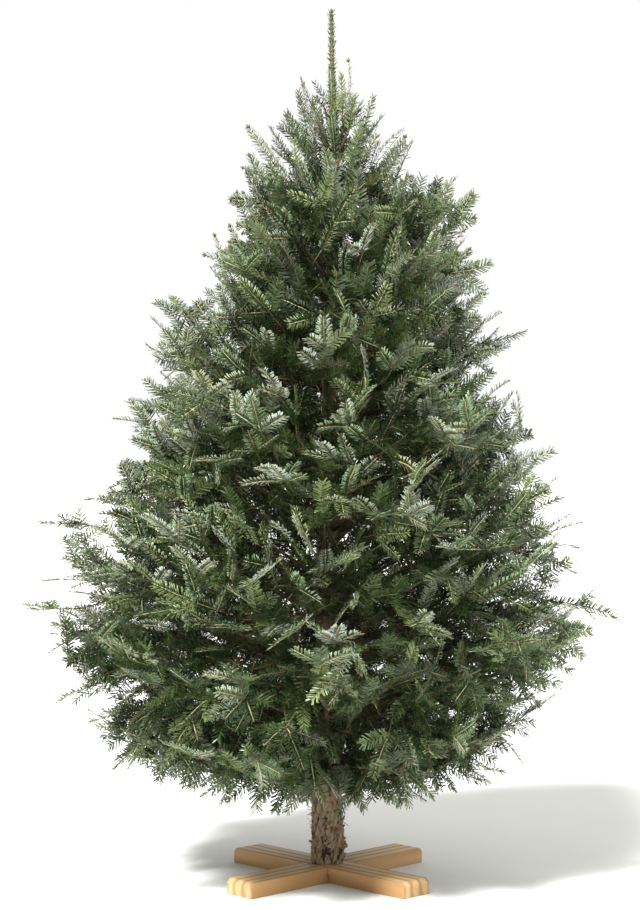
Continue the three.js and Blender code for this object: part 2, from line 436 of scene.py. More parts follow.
@dataclass
class TrunkLine:
    """The trunk's centre and radius at each height, read from its CAD node."""

    heights: np.ndarray = field(init=False)
    centres: np.ndarray = field(init=False)
    radii: np.ndarray = field(init=False)

    def __post_init__(self) -> None:
        """Reads the CAD trunk ring by ring."""
        rings: dict[int, set[tuple[float, ...]]] = defaultdict(set)
        for vertex in FRAME["nodes"]["trunk"].data.vertices:
            rings[round(vertex.co.z * 1e4)].add(vertex.co.to_tuple(5))
        rows = []
        for key in sorted(rings):
            points = np.array(sorted(rings[key]))
            middle = points.mean(0)
            reach = np.linalg.norm(points[:, :2] - middle[:2], axis=1).mean() if len(points) > 4 else 0.0
            rows.append((key / 1e4, middle[0], middle[1], reach))
        table = np.array(rows)
        self.heights, self.centres, self.radii = table[:, 0], table[:, 1:3], table[:, 3]

    @property
    def foot(self) -> float:
        """The height of the flat saw cut."""
        return float(self.heights[0])

    @property
    def top(self) -> float:
        """The height of the leader's tip."""
        return float(self.heights[-1])

    def centre(self, z: float) -> Vector:
        """Returns the trunk's centre at a height."""
        x, y = (float(np.interp(z, self.heights, self.centres[:, i])) for i in (0, 1))
        return Vector((x, y, z))

    def radius(self, z: float) -> float:
        """Returns the trunk's radius at a height."""
        return float(np.interp(z, self.heights, self.radii))

    def share(self, z: float) -> float:
        """Returns how far up the tree a height is, from nought to one."""
        return (z - self.foot) / (self.top - self.foot)

    def outward(self, point: Vector) -> Vector:
        """Finds the level direction from the trunk to a point.

        Args:
            point: the point.

        Returns:
            The direction, or the front's for a point on the trunk's own line.
        """
        hub = self.centre(point.z)
        flat = Vector((point.x - hub.x, point.y - hub.y, 0.0))
        return flat.normalized() if flat.length > 1e-5 else Vector((0.0, -1.0, 0.0))

    def away(self, point: Vector) -> float:
        """Returns how far a point is from the trunk's line."""
        hub = self.centre(point.z)
        return math.hypot(point.x - hub.x, point.y - hub.y)


def search_tree(names: Sequence[str]) -> tuple[BVHTree, list[int]]:
    """Builds one search tree over several CAD nodes.

    Args:
        names: the nodes' names.

    Returns:
        The tree, and for each of its faces the number of the name that it came from.
    """
    points: list[Vector] = []
    faces: list[tuple[int, ...]] = []
    owners: list[int] = []
    for number, name in enumerate(names):
        mesh = FRAME["nodes"][name].data
        first = len(points)
        points += [v.co.copy() for v in mesh.vertices]
        faces += [tuple(first + i for i in p.vertices) for p in mesh.polygons]
        owners += [number] * len(mesh.polygons)
    return BVHTree.FromPolygons(points, faces), owners


@dataclass
class Mass:
    """One CAD mass of needles, as polar sizes about the trunk."""

    name: str
    trunk: TrunkLine
    tier: int = field(init=False)
    search: BVHTree = field(init=False)
    low: Vector = field(init=False)
    high: Vector = field(init=False)
    middle: float = field(init=False)
    half_width: float = field(init=False)
    inner: float = field(init=False)
    reach: float = field(init=False)

    def __post_init__(self) -> None:
        """Measures the mass."""
        self.tier = int(self.name.split("_")[2])
        self.search, _ = search_tree([self.name])
        self.low, self.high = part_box(self.name)
        points = np.array([v.co for v in FRAME["nodes"][self.name].data.vertices])
        axis = np.array([self.trunk.centre(p[2])[:2] for p in points])
        flat = points[:, :2] - axis
        distance = np.linalg.norm(flat, axis=1)
        mean = (flat / distance[:, None]).mean(0)
        self.middle = math.atan2(mean[1], mean[0])
        turn = np.arctan2(flat[:, 1], flat[:, 0]) - self.middle
        turn = (turn + math.pi) % (2 * math.pi) - math.pi
        self.half_width = float(np.percentile(np.abs(turn), 97))
        self.inner = float(distance.min())
        self.reach = float(distance.max())

    def spot(self, around: float, distance: float, z: float) -> Vector:
        """Returns the point in a direction and at a distance from the trunk, at a height."""
        hub = self.trunk.centre(z)
        return Vector((hub.x + distance * math.cos(around), hub.y + distance * math.sin(around), z))

    def span(self, around: float, distance: float) -> Optional[tuple[float, float]]:
        """Finds the mass's underside and top along a plumb line.

        Args:
            around: direction from the trunk.
            distance: distance from the trunk.

        Returns:
            The lower and upper heights, or None where the line misses the mass.
        """
        guess = self.low.z + (self.high.z - self.low.z) * distance / max(self.reach, 1e-3)
        spot = self.spot(around, distance, guess)
        top, _, _, _ = self.search.ray_cast(Vector((spot.x, spot.y, self.high.z + 0.1)), -UP)
        bottom, _, _, _ = self.search.ray_cast(Vector((spot.x, spot.y, self.low.z - 0.1)), UP)
        return None if top is None or bottom is None else (bottom.z, top.z)


def distance_to(wanted: np.ndarray, cell: float, reach: float) -> np.ndarray:
    """Measures each cell's distance to the nearest wanted cell.

    Args:
        wanted: which cells of a grid are wanted.
        cell: a cell's side.
        reach: the distance at which to stop.

    Returns:
        The distances, capped at reach.
    """
    far = np.where(wanted, 0.0, reach).astype(np.float32)
    steps = [(i, j, k) for i in (-1, 0, 1) for j in (-1, 0, 1) for k in (-1, 0, 1) if (i, j, k) > (0, 0, 0)]
    for _ in range(int(reach / cell) + 1):
        for step in steps:
            gap = cell * math.sqrt(sum(s * s for s in step))
            here = tuple(slice(max(0, s), n + min(0, s)) for s, n in zip(step, far.shape))
            there = tuple(slice(max(0, -s), n + min(0, -s)) for s, n in zip(step, far.shape))
            far[here] = np.minimum(far[here], far[there] + gap)
            far[there] = np.minimum(far[there], far[here] + gap)
    return far


@dataclass
class Crown:
    """The body of all the masses as a grid: how deep each place is, and which way is out."""

    trunk: TrunkLine
    cell: float = 18 * MM
    bridge: float = 80 * MM  # gaps between masses up to twice this are part of the crown
    swell: float = 18 * MM  # how far the crown stands out of the masses
    verge: float = 22 * MM  # how far a tip may pass the model's box
    fringe: float = 190 * MM  # the least height of a tip
    rim_share: float = 0.7  # a mass's corners this far out are its rim
    most_depth: float = 0.4  # depths are measured up to here
    most_clear: float = 0.12  # and distances outside the crown up to here
    bucket: float = 50 * MM  # the side of the boxes in which near places are looked for
    masses: list[Mass] = field(init=False)
    search: BVHTree = field(init=False)
    owners: list[int] = field(init=False)
    origin: np.ndarray = field(init=False)
    depths: np.ndarray = field(init=False)
    ways: np.ndarray = field(init=False)

    def __post_init__(self) -> None:
        """Fills the grid from the CAD masses, and closes the narrow gaps between them."""
        names = sorted(n for n in FRAME["nodes"] if n.startswith("foliage_tier_"))
        self.masses = [Mass(n, self.trunk) for n in names]
        self.search, self.owners = search_tree(names)
        edge = self.bridge + 3 * self.cell
        low = np.min([m.low for m in self.masses], axis=0) - edge
        high = np.max([m.high for m in self.masses], axis=0) + edge
        self.origin = low
        counts = np.ceil((high - low) / self.cell).astype(int)
        filled = np.zeros(counts, bool)
        for i in range(counts[0]):
            for j in range(counts[1]):
                self.fill_column(filled, i, j, float(high[2]))
        grown = distance_to(filled, self.cell, self.bridge + 2 * self.cell) <= self.bridge
        body = distance_to(~grown, self.cell, self.bridge + 2 * self.cell) > self.bridge - self.swell
        half = self.cell / 2
        inside = distance_to(~body, self.cell, self.most_depth) - half
        self.depths = np.where(body, inside, half - distance_to(body, self.cell, self.most_clear))
        soft = self.depths.copy()
        for _ in range(3):
            for axis in range(3):
                soft = (np.roll(soft, 1, axis) + soft + np.roll(soft, -1, axis)) / 3
        ways = -np.stack(np.gradient(soft), axis=-1)
        self.ways = ways / np.maximum(np.linalg.norm(ways, axis=-1, keepdims=True), 1e-6)

    def fill_column(self, filled: np.ndarray, i: int, j: int, top: float) -> None:
        """Marks the cells of one upright column that are inside a mass.

        Args:
            filled: the grid to mark.
            i: the column's number along X.
            j: its number along Y.
            top: a height above every mass.
        """
        x = self.origin[0] + (i + 0.503) * self.cell
        y = self.origin[1] + (j + 0.497) * self.cell
        crossings = []
        z = top
        while len(crossings) < 80:
            hit, _, _, _ = self.search.ray_cast(Vector((x, y, z)), -UP)
            if hit is None:
                break
            crossings.append(hit.z)
            z = hit.z - 1e-5
        for upper, lower in zip(crossings[::2], crossings[1::2]):
            first = math.ceil((lower - self.origin[2]) / self.cell - 0.5)
            last = math.floor((upper - self.origin[2]) / self.cell - 0.5)
            filled[i, j, first : last + 1] = True

    def look_up(self, grid: np.ndarray, point: Vector) -> np.ndarray:
        """Looks up a grid's value at a point.

        Args:
            grid: the grid.
            point: the point.

        Returns:
            The value of the cell that holds it.
        """
        at = np.floor((np.array(point) - self.origin) / self.cell).astype(int)
        at = np.clip(at, 0, np.array(grid.shape[:3]) - 1)
        return grid[at[0], at[1], at[2]]

    def depth(self, point: Vector) -> float:
        """Returns how deep in the crown a point is, less than nought outside it."""
        return float(self.look_up(self.depths, point))

    def out(self, point: Vector) -> Vector:
        """Returns the direction that leads out of the crown soonest."""
        return Vector(self.look_up(self.ways, point))

    def rims(self) -> np.ndarray:
        """Lists the outermost corners of every mass, the farthest out first.

        Returns:
            The corners, n by 3.
        """
        found = []
        for mass in self.masses:
            for vertex in FRAME["nodes"][mass.name].data.vertices:
                away = self.trunk.away(vertex.co) / mass.reach
                if away > self.rim_share:
                    found.append((-away, tuple(vertex.co)))
        return np.array([place for _, place in sorted(found)])

    def held(self, point: Vector) -> Vector:
        """Returns a point moved to where its needles stay near the frame's own size."""
        low, high = self.bounds
        return Vector([min(max(c, a), b) for c, a, b in zip(point, low, high)])

    def holds(self, point: Vector) -> bool:
        """Tells whether a point's needles stay near the frame's own size."""
        return (self.held(point) - point).length < 1 * MM

    @property
    def bounds(self) -> tuple[Vector, Vector]:
        """Finds how far a tip may reach.

        Returns:
            The least and the greatest corner.
        """
        low, high = (Vector(corner) for corner in CAD_BOX)
        edge = Vector((self.verge, self.verge, self.verge))
        return Vector((low.x - self.verge, low.y - self.verge, self.fringe)), high + edge

    def tier(self, point: Vector) -> int:
        """Returns the tier of the mass nearest to a point."""
        _, _, face, _ = self.search.find_nearest(point)
        return self.masses[self.owners[face]].tier

    def scatter(
        self,
        low: float,
        high: float,
        gap: Callable[[Vector], float],
        taken: list[Vector],
        rng: np.random.Generator,
    ) -> list[Vector]:
        """Strews places through a layer of the crown, none nearer than a gap to another.

        Args:
            low: the layer's least depth.
            high: its greatest depth.
            gap: gives the least distance at a place.
            taken: places that are already used.
            rng: the source of chance.

        Returns:
            The new places.
        """
        side = self.bucket
        near: dict[tuple[int, ...], list[Vector]] = defaultdict(list)
        for point in taken:
            near[tuple(int(c // side) for c in point)].append(point)
        cells = np.argwhere((self.depths >= low) & (self.depths < high))
        rng.shuffle(cells)
        found = []
        spots = self.origin + (cells + rng.uniform(0, 1, cells.shape)) * self.cell
        if low < 0:
            spots = np.concatenate([self.rims(), spots])
        for spot in spots:
            point = Vector(spot)
            least = gap(point)
            span = int(least // side) + 1
            home = [int(c // side) for c in point]
            block = (
                other
                for i in range(home[0] - span, home[0] + span + 1)
                for j in range(home[1] - span, home[1] + span + 1)
                for k in range(home[2] - span, home[2] + span + 1)
                for other in near.get((i, j, k), ())
            )
            if all((other - point).length > least for other in block):
                near[tuple(home)].append(point)
                found.append(point)
        return found


# ---- Growth ----


@dataclass(eq=False)
class Shoot:
    """One year's growth: a short, slightly bent stem that may carry needles."""

    start: Vector
    end: Vector
    up: Vector
    age: int
    tier: int
    parent: Optional["Shoot"] = None
    bow: float = 0.0
    tip: bool = False
    depth: float = 0.0
    fill: float = 0.0
    thick: float = 0.0
    thin: float = 0.0
    on_limb: bool = False
    pressed: bool = False

    @property
    def length(self) -> float:
        """The distance from its base to its end."""
        return (self.end - self.start).length

    @property
    def along(self) -> Vector:
        """Its direction."""
        return (self.end - self.start).normalized()

    @property
    def middle(self) -> Vector:
        """The point that its bent stem leans towards."""
        return (self.start + self.end) / 2 + self.up * self.bow


@dataclass
class Limb:
    """A bough's woody axis: points from the trunk to its tip, one for each year."""

    points: list[Vector]
    tier: int
    root_radius: float
    main: bool


@dataclass
class Fork:
    """A place where a new twig may join: a joint of a limb or a twig."""

    place: Vector
    way: Vector
    away: float
    crowd: float
    shoot: Shoot


@dataclass(frozen=True)
class LimbPlan:
    """Where one bough runs inside a mass: across its fan, at a level in its thickness."""

    across: float  # from -1 at the fan's one side to 1 at its other
    level: float  # from -1 at its underside to 1 at its top
    fork: float  # the share of its reach at which the bough leaves the middle one
    girth: float  # its thickness against the middle one's


LIMB_PLANS = (
    LimbPlan(0.0, 0.0, 0.0, 1.0),
    LimbPlan(-0.66, -0.1, 0.22, 0.75),
    LimbPlan(0.66, -0.1, 0.22, 0.75),
    LimbPlan(-0.34, 0.45, 0.0, 0.55),
    LimbPlan(0.4, -0.5, 0.0, 0.5),
)


@dataclass(frozen=True)
class SprayHabit:
    """How a fir's sprays are set: a leading shoot with a pair beside it, and older pairs behind."""

    leading: tuple[float, float] = (84 * MM, 128 * MM)  # the leading shoot's length
    side_share: tuple[float, float] = (0.62, 0.92)  # a side shoot's length against it
    side_angle: tuple[float, float] = (42.0, 62.0)  # its angle to it, in degrees
    spire_angle: tuple[float, float] = (20.0, 38.0)  # the same near the top
    bend: float = 0.08  # how far a shoot bows, as a share of its length
    stray: float = 0.2  # how far its direction strays
    roll: float = 0.3  # and how far its upper side does
    hug: float = 0.3  # how strongly it points straight out of the crown
    aside: float = 0.95  # how far it may point along the crown's surface
    face: float = 0.85  # how strongly its upper side faces out of the crown
    # the rise of the boughs' ends above level, by how far up the tree they are
    heights: tuple[float, ...] = (0.0, 0.15, 0.25, 0.32, 0.37, 0.45, 0.5, 0.55, 0.7, 0.8, 0.88, 0.95, 1.0)
    rises: tuple[float, ...] = (-55, -30, -4, 8, 17, 28, 34, 40, 52, 60, 68, 76, 84)
    # how far the outer sprays stand out of the frame's masses there, in millimetres
    pushes: tuple[float, ...] = (-4, -4, 2, 6, 40, 40, 14, 8, -6, -16, -12, 0, 0)


@dataclass(frozen=True)
class Layer:
    """One layer of sprays, by how deep in the crown their tips are."""

    low: float
    high: float
    gap: float  # the least distance between tips
    odds: float = 0.0  # the chance of standing proud of the layer


LAYERS = (
    Layer(-12 * MM, 14 * MM, 76 * MM, 0.3),
    Layer(50 * MM, 90 * MM, 87 * MM),
    Layer(120 * MM, 175 * MM, 98 * MM),
    Layer(195 * MM, 330 * MM, 118 * MM),
)


@dataclass
class Growth:
    """Grows the whole crown: boughs in each mass, sprays all over it, and the twigs that join them."""

    trunk: TrunkLine
    crown: Crown
    habit: SprayHabit = SprayHabit()
    seed: int = 20
    year: float = 96 * MM  # one year's growth along a bough
    stem: float = 1.0 * MM  # the radius of a stem that carries one tip
    spire: float = 0.83  # above this share of its height the crown thins to a few upright shoots
    whorl: int = 20  # the upright shoots round the leader's foot
    busy: float = 1e3  # the crowding of a joint that isn't ready to carry a twig yet
    limbs: list[Limb] = field(default_factory=list)
    shoots: list[Shoot] = field(default_factory=list)
    forks: list[Fork] = field(default_factory=list)
    tips: list[Vector] = field(default_factory=list)
    ready_forks: list[Fork] = field(default_factory=list)
    ready: dict[str, np.ndarray] = field(default_factory=dict)
    rng: np.random.Generator = field(init=False)

    def __post_init__(self) -> None:
        """Seeds its choices."""
        self.rng = np.random.default_rng(self.seed)

    def pick(self, bounds: tuple[float, float]) -> float:
        """Returns a random number between two bounds."""
        return float(self.rng.uniform(*bounds))

    def stray(self, spread: float) -> Vector:
        """Returns a random small vector."""
        return Vector(self.rng.normal(0, spread, 3))

    def by_height(self, point: Vector, values: Sequence[float]) -> float:
        """Returns one of the habit's values at a point's height."""
        return float(np.interp(self.trunk.share(point.z), self.habit.heights, values))

    def rise(self, point: Vector) -> Vector:
        """Returns the direction that a bough's end takes at a place, from the tree's own habit."""
        angle = math.radians(self.by_height(point, self.habit.rises))
        return self.trunk.outward(point) * math.cos(angle) + UP * math.sin(angle)

    def add(self, shoot: Shoot, crowd: float = 1.0) -> Shoot:
        """Keeps a shoot, and its end as a place to grow from.

        Args:
            shoot: the shoot.
            crowd: how unwelcome more twigs are at its end.

        Returns:
            The shoot.
        """
        self.shoots.append(shoot)
        self.forks.append(Fork(shoot.end, shoot.along, self.trunk.away(shoot.end), crowd, shoot))
        return shoot

    def side_pair(
        self, fork: Vector, along: Vector, up: Vector, length: float, tier: int, parent: Shoot, odds: float
    ) -> None:
        """Grows a pair of this year's shoots beside a joint.

        Args:
            fork: the joint.
            along: the direction of the stem there.
            up: the spray's upper side.
            length: the leading shoot's length.
            tier: the tier that they belong to.
            parent: the shoot that ends at the joint.
            odds: the chance of each.
        """
        spire = self.trunk.share(fork.z) > self.spire - 0.05
        for side in (-1, 1):
            if self.rng.random() > odds * (0.4 if spire else 1.0):
                continue
            angle = self.pick(self.habit.spire_angle if spire else self.habit.side_angle)
            way = unit(turned(along, up, side * angle) + self.stray(0.1))
            reach = length * self.pick(self.habit.side_share)
            if self.crown.depth(fork + way * reach) < -24 * MM or not self.crown.holds(fork + way * reach):
                reach *= 0.6
            lifted = square_to(up + self.stray(0.25), way)
            bow = reach * (self.habit.bend * 0.6 + self.rng.normal(0, 0.04))
            self.shoots.append(Shoot(fork, fork + way * reach, lifted, 0, tier, parent, bow, True))

    def spray(self, tip: Vector, way: Vector, up: Vector, length: float) -> tuple[Vector, Vector, Shoot]:
        """Grows a spray back from its tip: a leading shoot, last year's, and a pair beside each.

        Args:
            tip: where the leading shoot ends.
            way: its direction.
            up: the spray's upper side.
            length: its length.

        Returns:
            Where the spray starts, the direction that it starts in, and its first shoot.
        """
        tip = self.crown.held(tip)
        tier = self.crown.tier(tip)
        fork = tip - way * length
        home = unit(way + self.rise(fork) * 0.5 + self.stray(0.08))
        back = fork - home * length * self.pick((0.75, 1.05))
        old = Shoot(back, fork, square_to(up, home), 1, tier, None, length * self.rng.normal(0.02, 0.02))
        self.add(old, 1.5)
        bow = length * (self.habit.bend + self.rng.normal(0, 0.035))
        self.shoots.append(Shoot(fork, tip, square_to(up, way), 0, tier, old, bow, True))
        self.side_pair(fork, way, old.up, length, tier, old, 0.94)
        self.tips.append(tip)
        return back, home, old

    def limb_points(self, mass: Mass, plan: LimbPlan) -> list[Vector]:
        """Lays a bough's joints from the trunk along its place in a mass.

        Args:
            mass: the mass that it fills.
            plan: its place in the mass.

        Returns:
            Its joints, or nothing if it has no room.
        """
        target = mass.middle + plan.across * mass.half_width + float(self.rng.uniform(-0.05, 0.05))
        path: list[Vector] = []
        steps = 60
        for i in range(steps + 1):
            distance = mass.inner + (mass.reach - mass.inner) * i / steps
            share = (distance - plan.fork * mass.reach) / max(1e-6, (1 - plan.fork) * mass.reach)
            spread = min(1.0, max(0.0, share) * 2.2) if plan.fork else 1.0
            around = mass.middle + (target - mass.middle) * spread
            span = mass.span(around, distance)
            if span is None:
                if path and i > steps // 3:
                    break
                continue
            half = (span[1] - span[0]) / 2
            z = (span[0] + span[1]) / 2 + plan.level * half * (1 - 0.35 * (i / steps) ** 2)
            path.append(mass.spot(around, distance, z))
        if len(path) < 8:
            return []
        first = path[0]
        gap = self.trunk.away(first)
        drop = min(0.35, 0.12 + 0.03 * mass.tier) * gap
        inside_bark = self.trunk.outward(first) * self.trunk.radius(first.z) * 0.6
        path.insert(0, self.trunk.centre(first.z - drop) + inside_bark)
        lengths = np.concatenate([[0], np.cumsum([(b - a).length for a, b in zip(path, path[1:])])])
        years = max(2, round(lengths[-1] / self.year))
        flat = np.array(path)
        at = np.linspace(0, lengths[-1], years + 1)
        joints = [Vector(p) for p in np.stack([np.interp(at, lengths, flat[:, i]) for i in range(3)], axis=1)]
        return [joints[0]] + [p + self.stray(5 * MM) for p in joints[1:-1]] + [joints[-1]]

    def grow_limb(self, mass: Mass, plan: LimbPlan, number: int) -> None:
        """Grows one bough with the sprays at its own end.

        Args:
            mass: the mass that it fills.
            plan: its place there.
            number: its number in the mass.
        """
        joints = self.limb_points(mass, plan)
        if not joints:
            return
        girth = max(3.2 * MM, (11.5 - 0.75 * mass.tier) * MM * plan.girth)
        self.limbs.append(Limb(joints, mass.tier, girth, number == 0))
        last = len(joints) - 2
        for k, (start, end) in enumerate(zip(joints, joints[1:])):
            along = (end - start).normalized()
            up = square_to(UP + self.stray(0.12), along)
            age = last - k
            shoot = Shoot(start, end, up, age, mass.tier, on_limb=age > 1, tip=age == 0)
            self.add(shoot, 0.8 if age > 0 else 9.0)
            if 0 < age <= 2:
                self.side_pair(end, unit(joints[k + 2] - end), up, self.year, mass.tier, shoot, 1.0)
        self.tips.append(joints[-1])

    def join(self, back: Vector, home: Vector, first: Shoot) -> None:
        """Joins a spray to the nearest fitting joint by a curved twig.

        Args:
            back: where the spray starts.
            home: the direction that it starts in.
            first: its first shoot.
        """
        away = self.trunk.away(back)
        ready = self.ready
        gaps = np.array(back)[None] - ready["place"]
        reach = np.linalg.norm(gaps, axis=1) + 1e-6
        ways = gaps / reach[:, None]
        turn_off = 1 - (ways * ready["way"]).sum(1)
        turn_in = 1 - ways @ np.array(home)
        cost = reach * (1 + 1.1 * turn_off + 0.8 * turn_in) + 0.018 * ready["crowd"]
        cost = np.where(ready["away"] > away + 20 * MM, cost + 0.5, cost)  # a twig seldom grows inwards
        best = int(np.argmin(cost))
        fork = self.ready_forks[best]
        ready["crowd"][best] += 1.2
        span = (back - fork.place).length
        parent = fork.shoot
        if span < 12 * MM:
            first.start, first.parent = fork.place, parent
            return
        pieces = max(1, round(span / self.year))
        leave = fork.place + unit(fork.way + (back - fork.place).normalized()) * span * 0.35
        arrive = back - home * span * 0.35
        here = fork.place
        for k in range(pieces):
            t = (k + 1) / pieces
            s = 1 - t
            there = fork.place * s**3 + leave * 3 * s * s * t + arrive * 3 * s * t * t + back * t**3
            along = (there - here).normalized()
            age = min(4, pieces - k + 1)
            shoot = Shoot(here, there, square_to(first.up, along), age, first.tier, parent)
            self.shoots.append(shoot)
            self.offer(Fork(there, along, self.trunk.away(there), 0.6, shoot))
            here, parent = there, shoot
        first.parent = parent

    def offer(self, fork: Fork) -> None:
        """Adds one joint to those that twigs may join.

        Args:
            fork: the joint.
        """
        self.ready_forks.append(fork)
        for key, rows in self.ready.items():
            self.ready[key] = np.concatenate([rows, np.array(getattr(fork, key))[None]])

    def thicken(self) -> None:
        """Gives each stem a thickness from what it carries."""
        load: dict[int, float] = defaultdict(float)
        for shoot in self.shoots:
            walker: Optional[Shoot] = shoot if shoot.tip else None
            steps = 0
            while walker is not None and steps < 60:
                load[id(walker)] += 1
                walker = walker.parent
                steps += 1
        for shoot in self.shoots:
            carried = max(1.0, load[id(shoot)])
            shoot.thick = self.stem * carried**0.34
            shoot.thin = self.stem * max(0.82, (carried - 1) ** 0.3 if carried > 1 else 0.82)
            shoot.thin = min(shoot.thin, shoot.thick)

    def spacing(self, gap: float, point: Vector) -> float:
        """Returns the least distance between tips at a place: less up the tree, and more in the spire."""
        share = self.trunk.share(point.z)
        return gap * (1.0 - 0.18 * share if share < 0.82 else 1.1)

    def grow_layer(self, layer: Layer) -> list[tuple[Vector, Vector, Shoot]]:
        """Grows the sprays of one layer.

        Args:
            layer: the layer.

        Returns:
            Each one's start, first direction and first shoot.
        """
        habit, outermost = self.habit, layer.low < 0
        gap = partial(self.spacing, layer.gap)
        places = self.crown.scatter(layer.low, layer.high, gap, self.tips, self.rng)
        LOG.info("layer %.0f-%.0f mm: %d sprays", layer.low / MM, layer.high / MM, len(places))
        grown = []
        for place in places:
            share = self.trunk.share(place.z)
            spire = share > self.spire
            on_trunk = self.trunk.away(place) < 50 * MM
            if on_trunk or (spire and layer.low > 0) or share > self.spire + 0.03:
                continue
            out = self.crown.out(place)
            if outermost:
                place = place + out * self.by_height(place, habit.pushes) * MM
            aside = square_to(self.stray(1.0), out) * self.pick((0.0, habit.aside))
            way = unit(self.rise(place) + out * habit.hug + aside + self.stray(habit.stray))
            if way.dot(self.trunk.outward(place)) < -0.1 and share < 0.85:
                way = unit(way + self.trunk.outward(place) * 0.6)
            up = square_to(UP * 0.55 + out * habit.face + self.stray(habit.roll), way)
            length = self.pick(habit.leading) * (1.2 if spire else 1.0 - 0.1 * share)
            if outermost and self.rng.random() < layer.odds:
                place = place + way * self.pick((14 * MM, 34 * MM))
            grown.append(self.spray(place, way, up, length))
        return grown

    def join_all(self, sprays: list[tuple[Vector, Vector, Shoot]]) -> None:
        """Joins all the sprays, the innermost first, each to what is joined already.

        Args:
            sprays: each one's start, first direction and first shoot.
        """
        self.ready_forks = list(self.forks)
        for key in ("place", "way", "away", "crowd"):
            self.ready[key] = np.array([getattr(f, key) for f in self.ready_forks])
        own = {id(f.shoot): i for i, f in enumerate(self.ready_forks)}
        waiting = [own[id(first)] for _, _, first in sprays]
        self.ready["crowd"][waiting] += self.busy
        for back, home, first in sorted(sprays, key=lambda s: self.trunk.away(s[0])):
            self.join(back, home, first)
            self.ready["crowd"][own[id(first)]] -= self.busy

    def grow(self) -> None:
        """Grows the boughs, then the sprays layer by layer from the outside, then what joins them."""
        for mass in self.crown.masses:
            for number, plan in enumerate(LIMB_PLANS):
                self.grow_limb(mass, plan, number)
        LOG.info("limbs: %d, with %d shoots", len(self.limbs), len(self.shoots))
        sprays = self.crown_whorl()
        for layer in LAYERS:
            sprays += self.grow_layer(layer)
        self.join_all(sprays)
        for shoot in self.shoots:
            shoot.depth = self.crown.depth((shoot.start + shoot.end) / 2)
        self.thicken()
        self.grow_leader()
        LOG.info("shoots: %d", len(self.shoots))

    def crown_whorl(self) -> list[tuple[Vector, Vector, Shoot]]:
        """Grows the long upright shoots round the foot of the leader.

        Returns:
            Each one's start, first direction and first shoot.
        """
        grown = []
        line = self.trunk
        for number in range(self.whorl):
            around = number * GOLDEN_ANGLE + float(self.rng.uniform(-0.4, 0.4))
            reach = (30 + 200 * ((number + 0.5) / self.whorl) ** 0.75) * MM
            level = line.foot + (0.94 - 0.42 * reach) * (line.top - line.foot)
            height = level + self.pick((-46 * MM, 36 * MM))
            hub = line.centre(height)
            tip = Vector((hub.x + reach * math.cos(around), hub.y + reach * math.sin(around), height))
            source = line.centre(height - self.pick((0.2, 0.29)))
            way = unit((tip - source).normalized() + self.stray(0.06))
            up = square_to(UP + self.stray(0.3), way)
            grown.append(self.spray(tip, way, up, self.pick((115 * MM, 165 * MM))))
        return grown

    def grow_leader(self, low: float = 0.72, pieces: int = 9) -> None:
        """Sets needles round the trunk's own youngest years.

        Args:
            low: the share of its height where they start.
            pieces: how many lengths that stretch is dealt with in.
        """
        line = self.trunk
        heights = np.linspace(line.foot + low * (line.top - line.foot), line.top - 5 * MM, pieces + 1)
        for start, end in zip(heights, heights[1:]):
            shoot = Shoot(line.centre(start), line.centre(end), Vector((0.0, -1.0, 0.0)), 0, 10, on_limb=True)
            shoot.thick, shoot.thin, shoot.pressed = line.radius(start), line.radius(end), True
            self.shoots.append(shoot)

    def clothe(self) -> None:
        """Decides how full of needles each shoot is: all the young ones, and old ones near the light."""
        for shoot in self.shoots:
            fill = (1.0, 0.88, 0.65, 0.4, 0.2)[min(4, shoot.age)]
            if shoot.age >= 2 and shoot.depth > 0.12:
                fill = 0.0
            if shoot.depth > 0.16:
                fill *= 0.75
            if self.trunk.share(shoot.end.z) > self.spire + 0.03:
                fill *= 0.65 if shoot.age else 0.85
            shoot.fill = fill
        run = sum(s.length * s.fill for s in self.shoots)
        LOG.info("needled run: %.0f m", run)


# ---- Needles, twigs and buds ----


@dataclass(frozen=True)
class NeedleHabit:
    """How needles stand on a shoot: real lengths, and widths a little over life so that fewer fill it."""

    length: float = 23 * MM
    width: float = 3.3 * MM
    gap: float = 4.7 * MM  # between needles of one rank
    lean: float = 64.0  # their angle to the stem, in degrees
    fold: float = 0.5 * MM  # the blade's twist, which closes it
    # each rank: its place round the stem in degrees from its upper side, its needles' size, and its share
    side_ranks: tuple[tuple[float, float, float], ...] = (
        (-82, 1.0, 1.0), (82, 1.0, 1.0), (-52, 0.8, 0.45), (52, 0.8, 0.45),
    )
    round_ranks: tuple[float, ...] = (0, 130, -130)
    # the odds of each tint, in the order of Tint; inside the crown they turn to the darker tints, partly the
    # darker green of older needles and partly painted shade
    outer_odds: tuple[float, ...] = (0.04, 0.42, 0.18, 0.345, 0.015)
    inner_shaded_odds: tuple[float, ...] = (0.32, 0.48, 0.08, 0.12, 0.0)
    deep_shaded_odds: tuple[float, ...] = (0.64, 0.33, 0.0, 0.03, 0.0)
    spire_odds: tuple[float, ...] = (0.22, 0.46, 0.08, 0.1, 0.14)
    sunlit: tuple[float, ...] = (0.0, 0.0, 0.12, 0.0, 0.06)  # added higher up


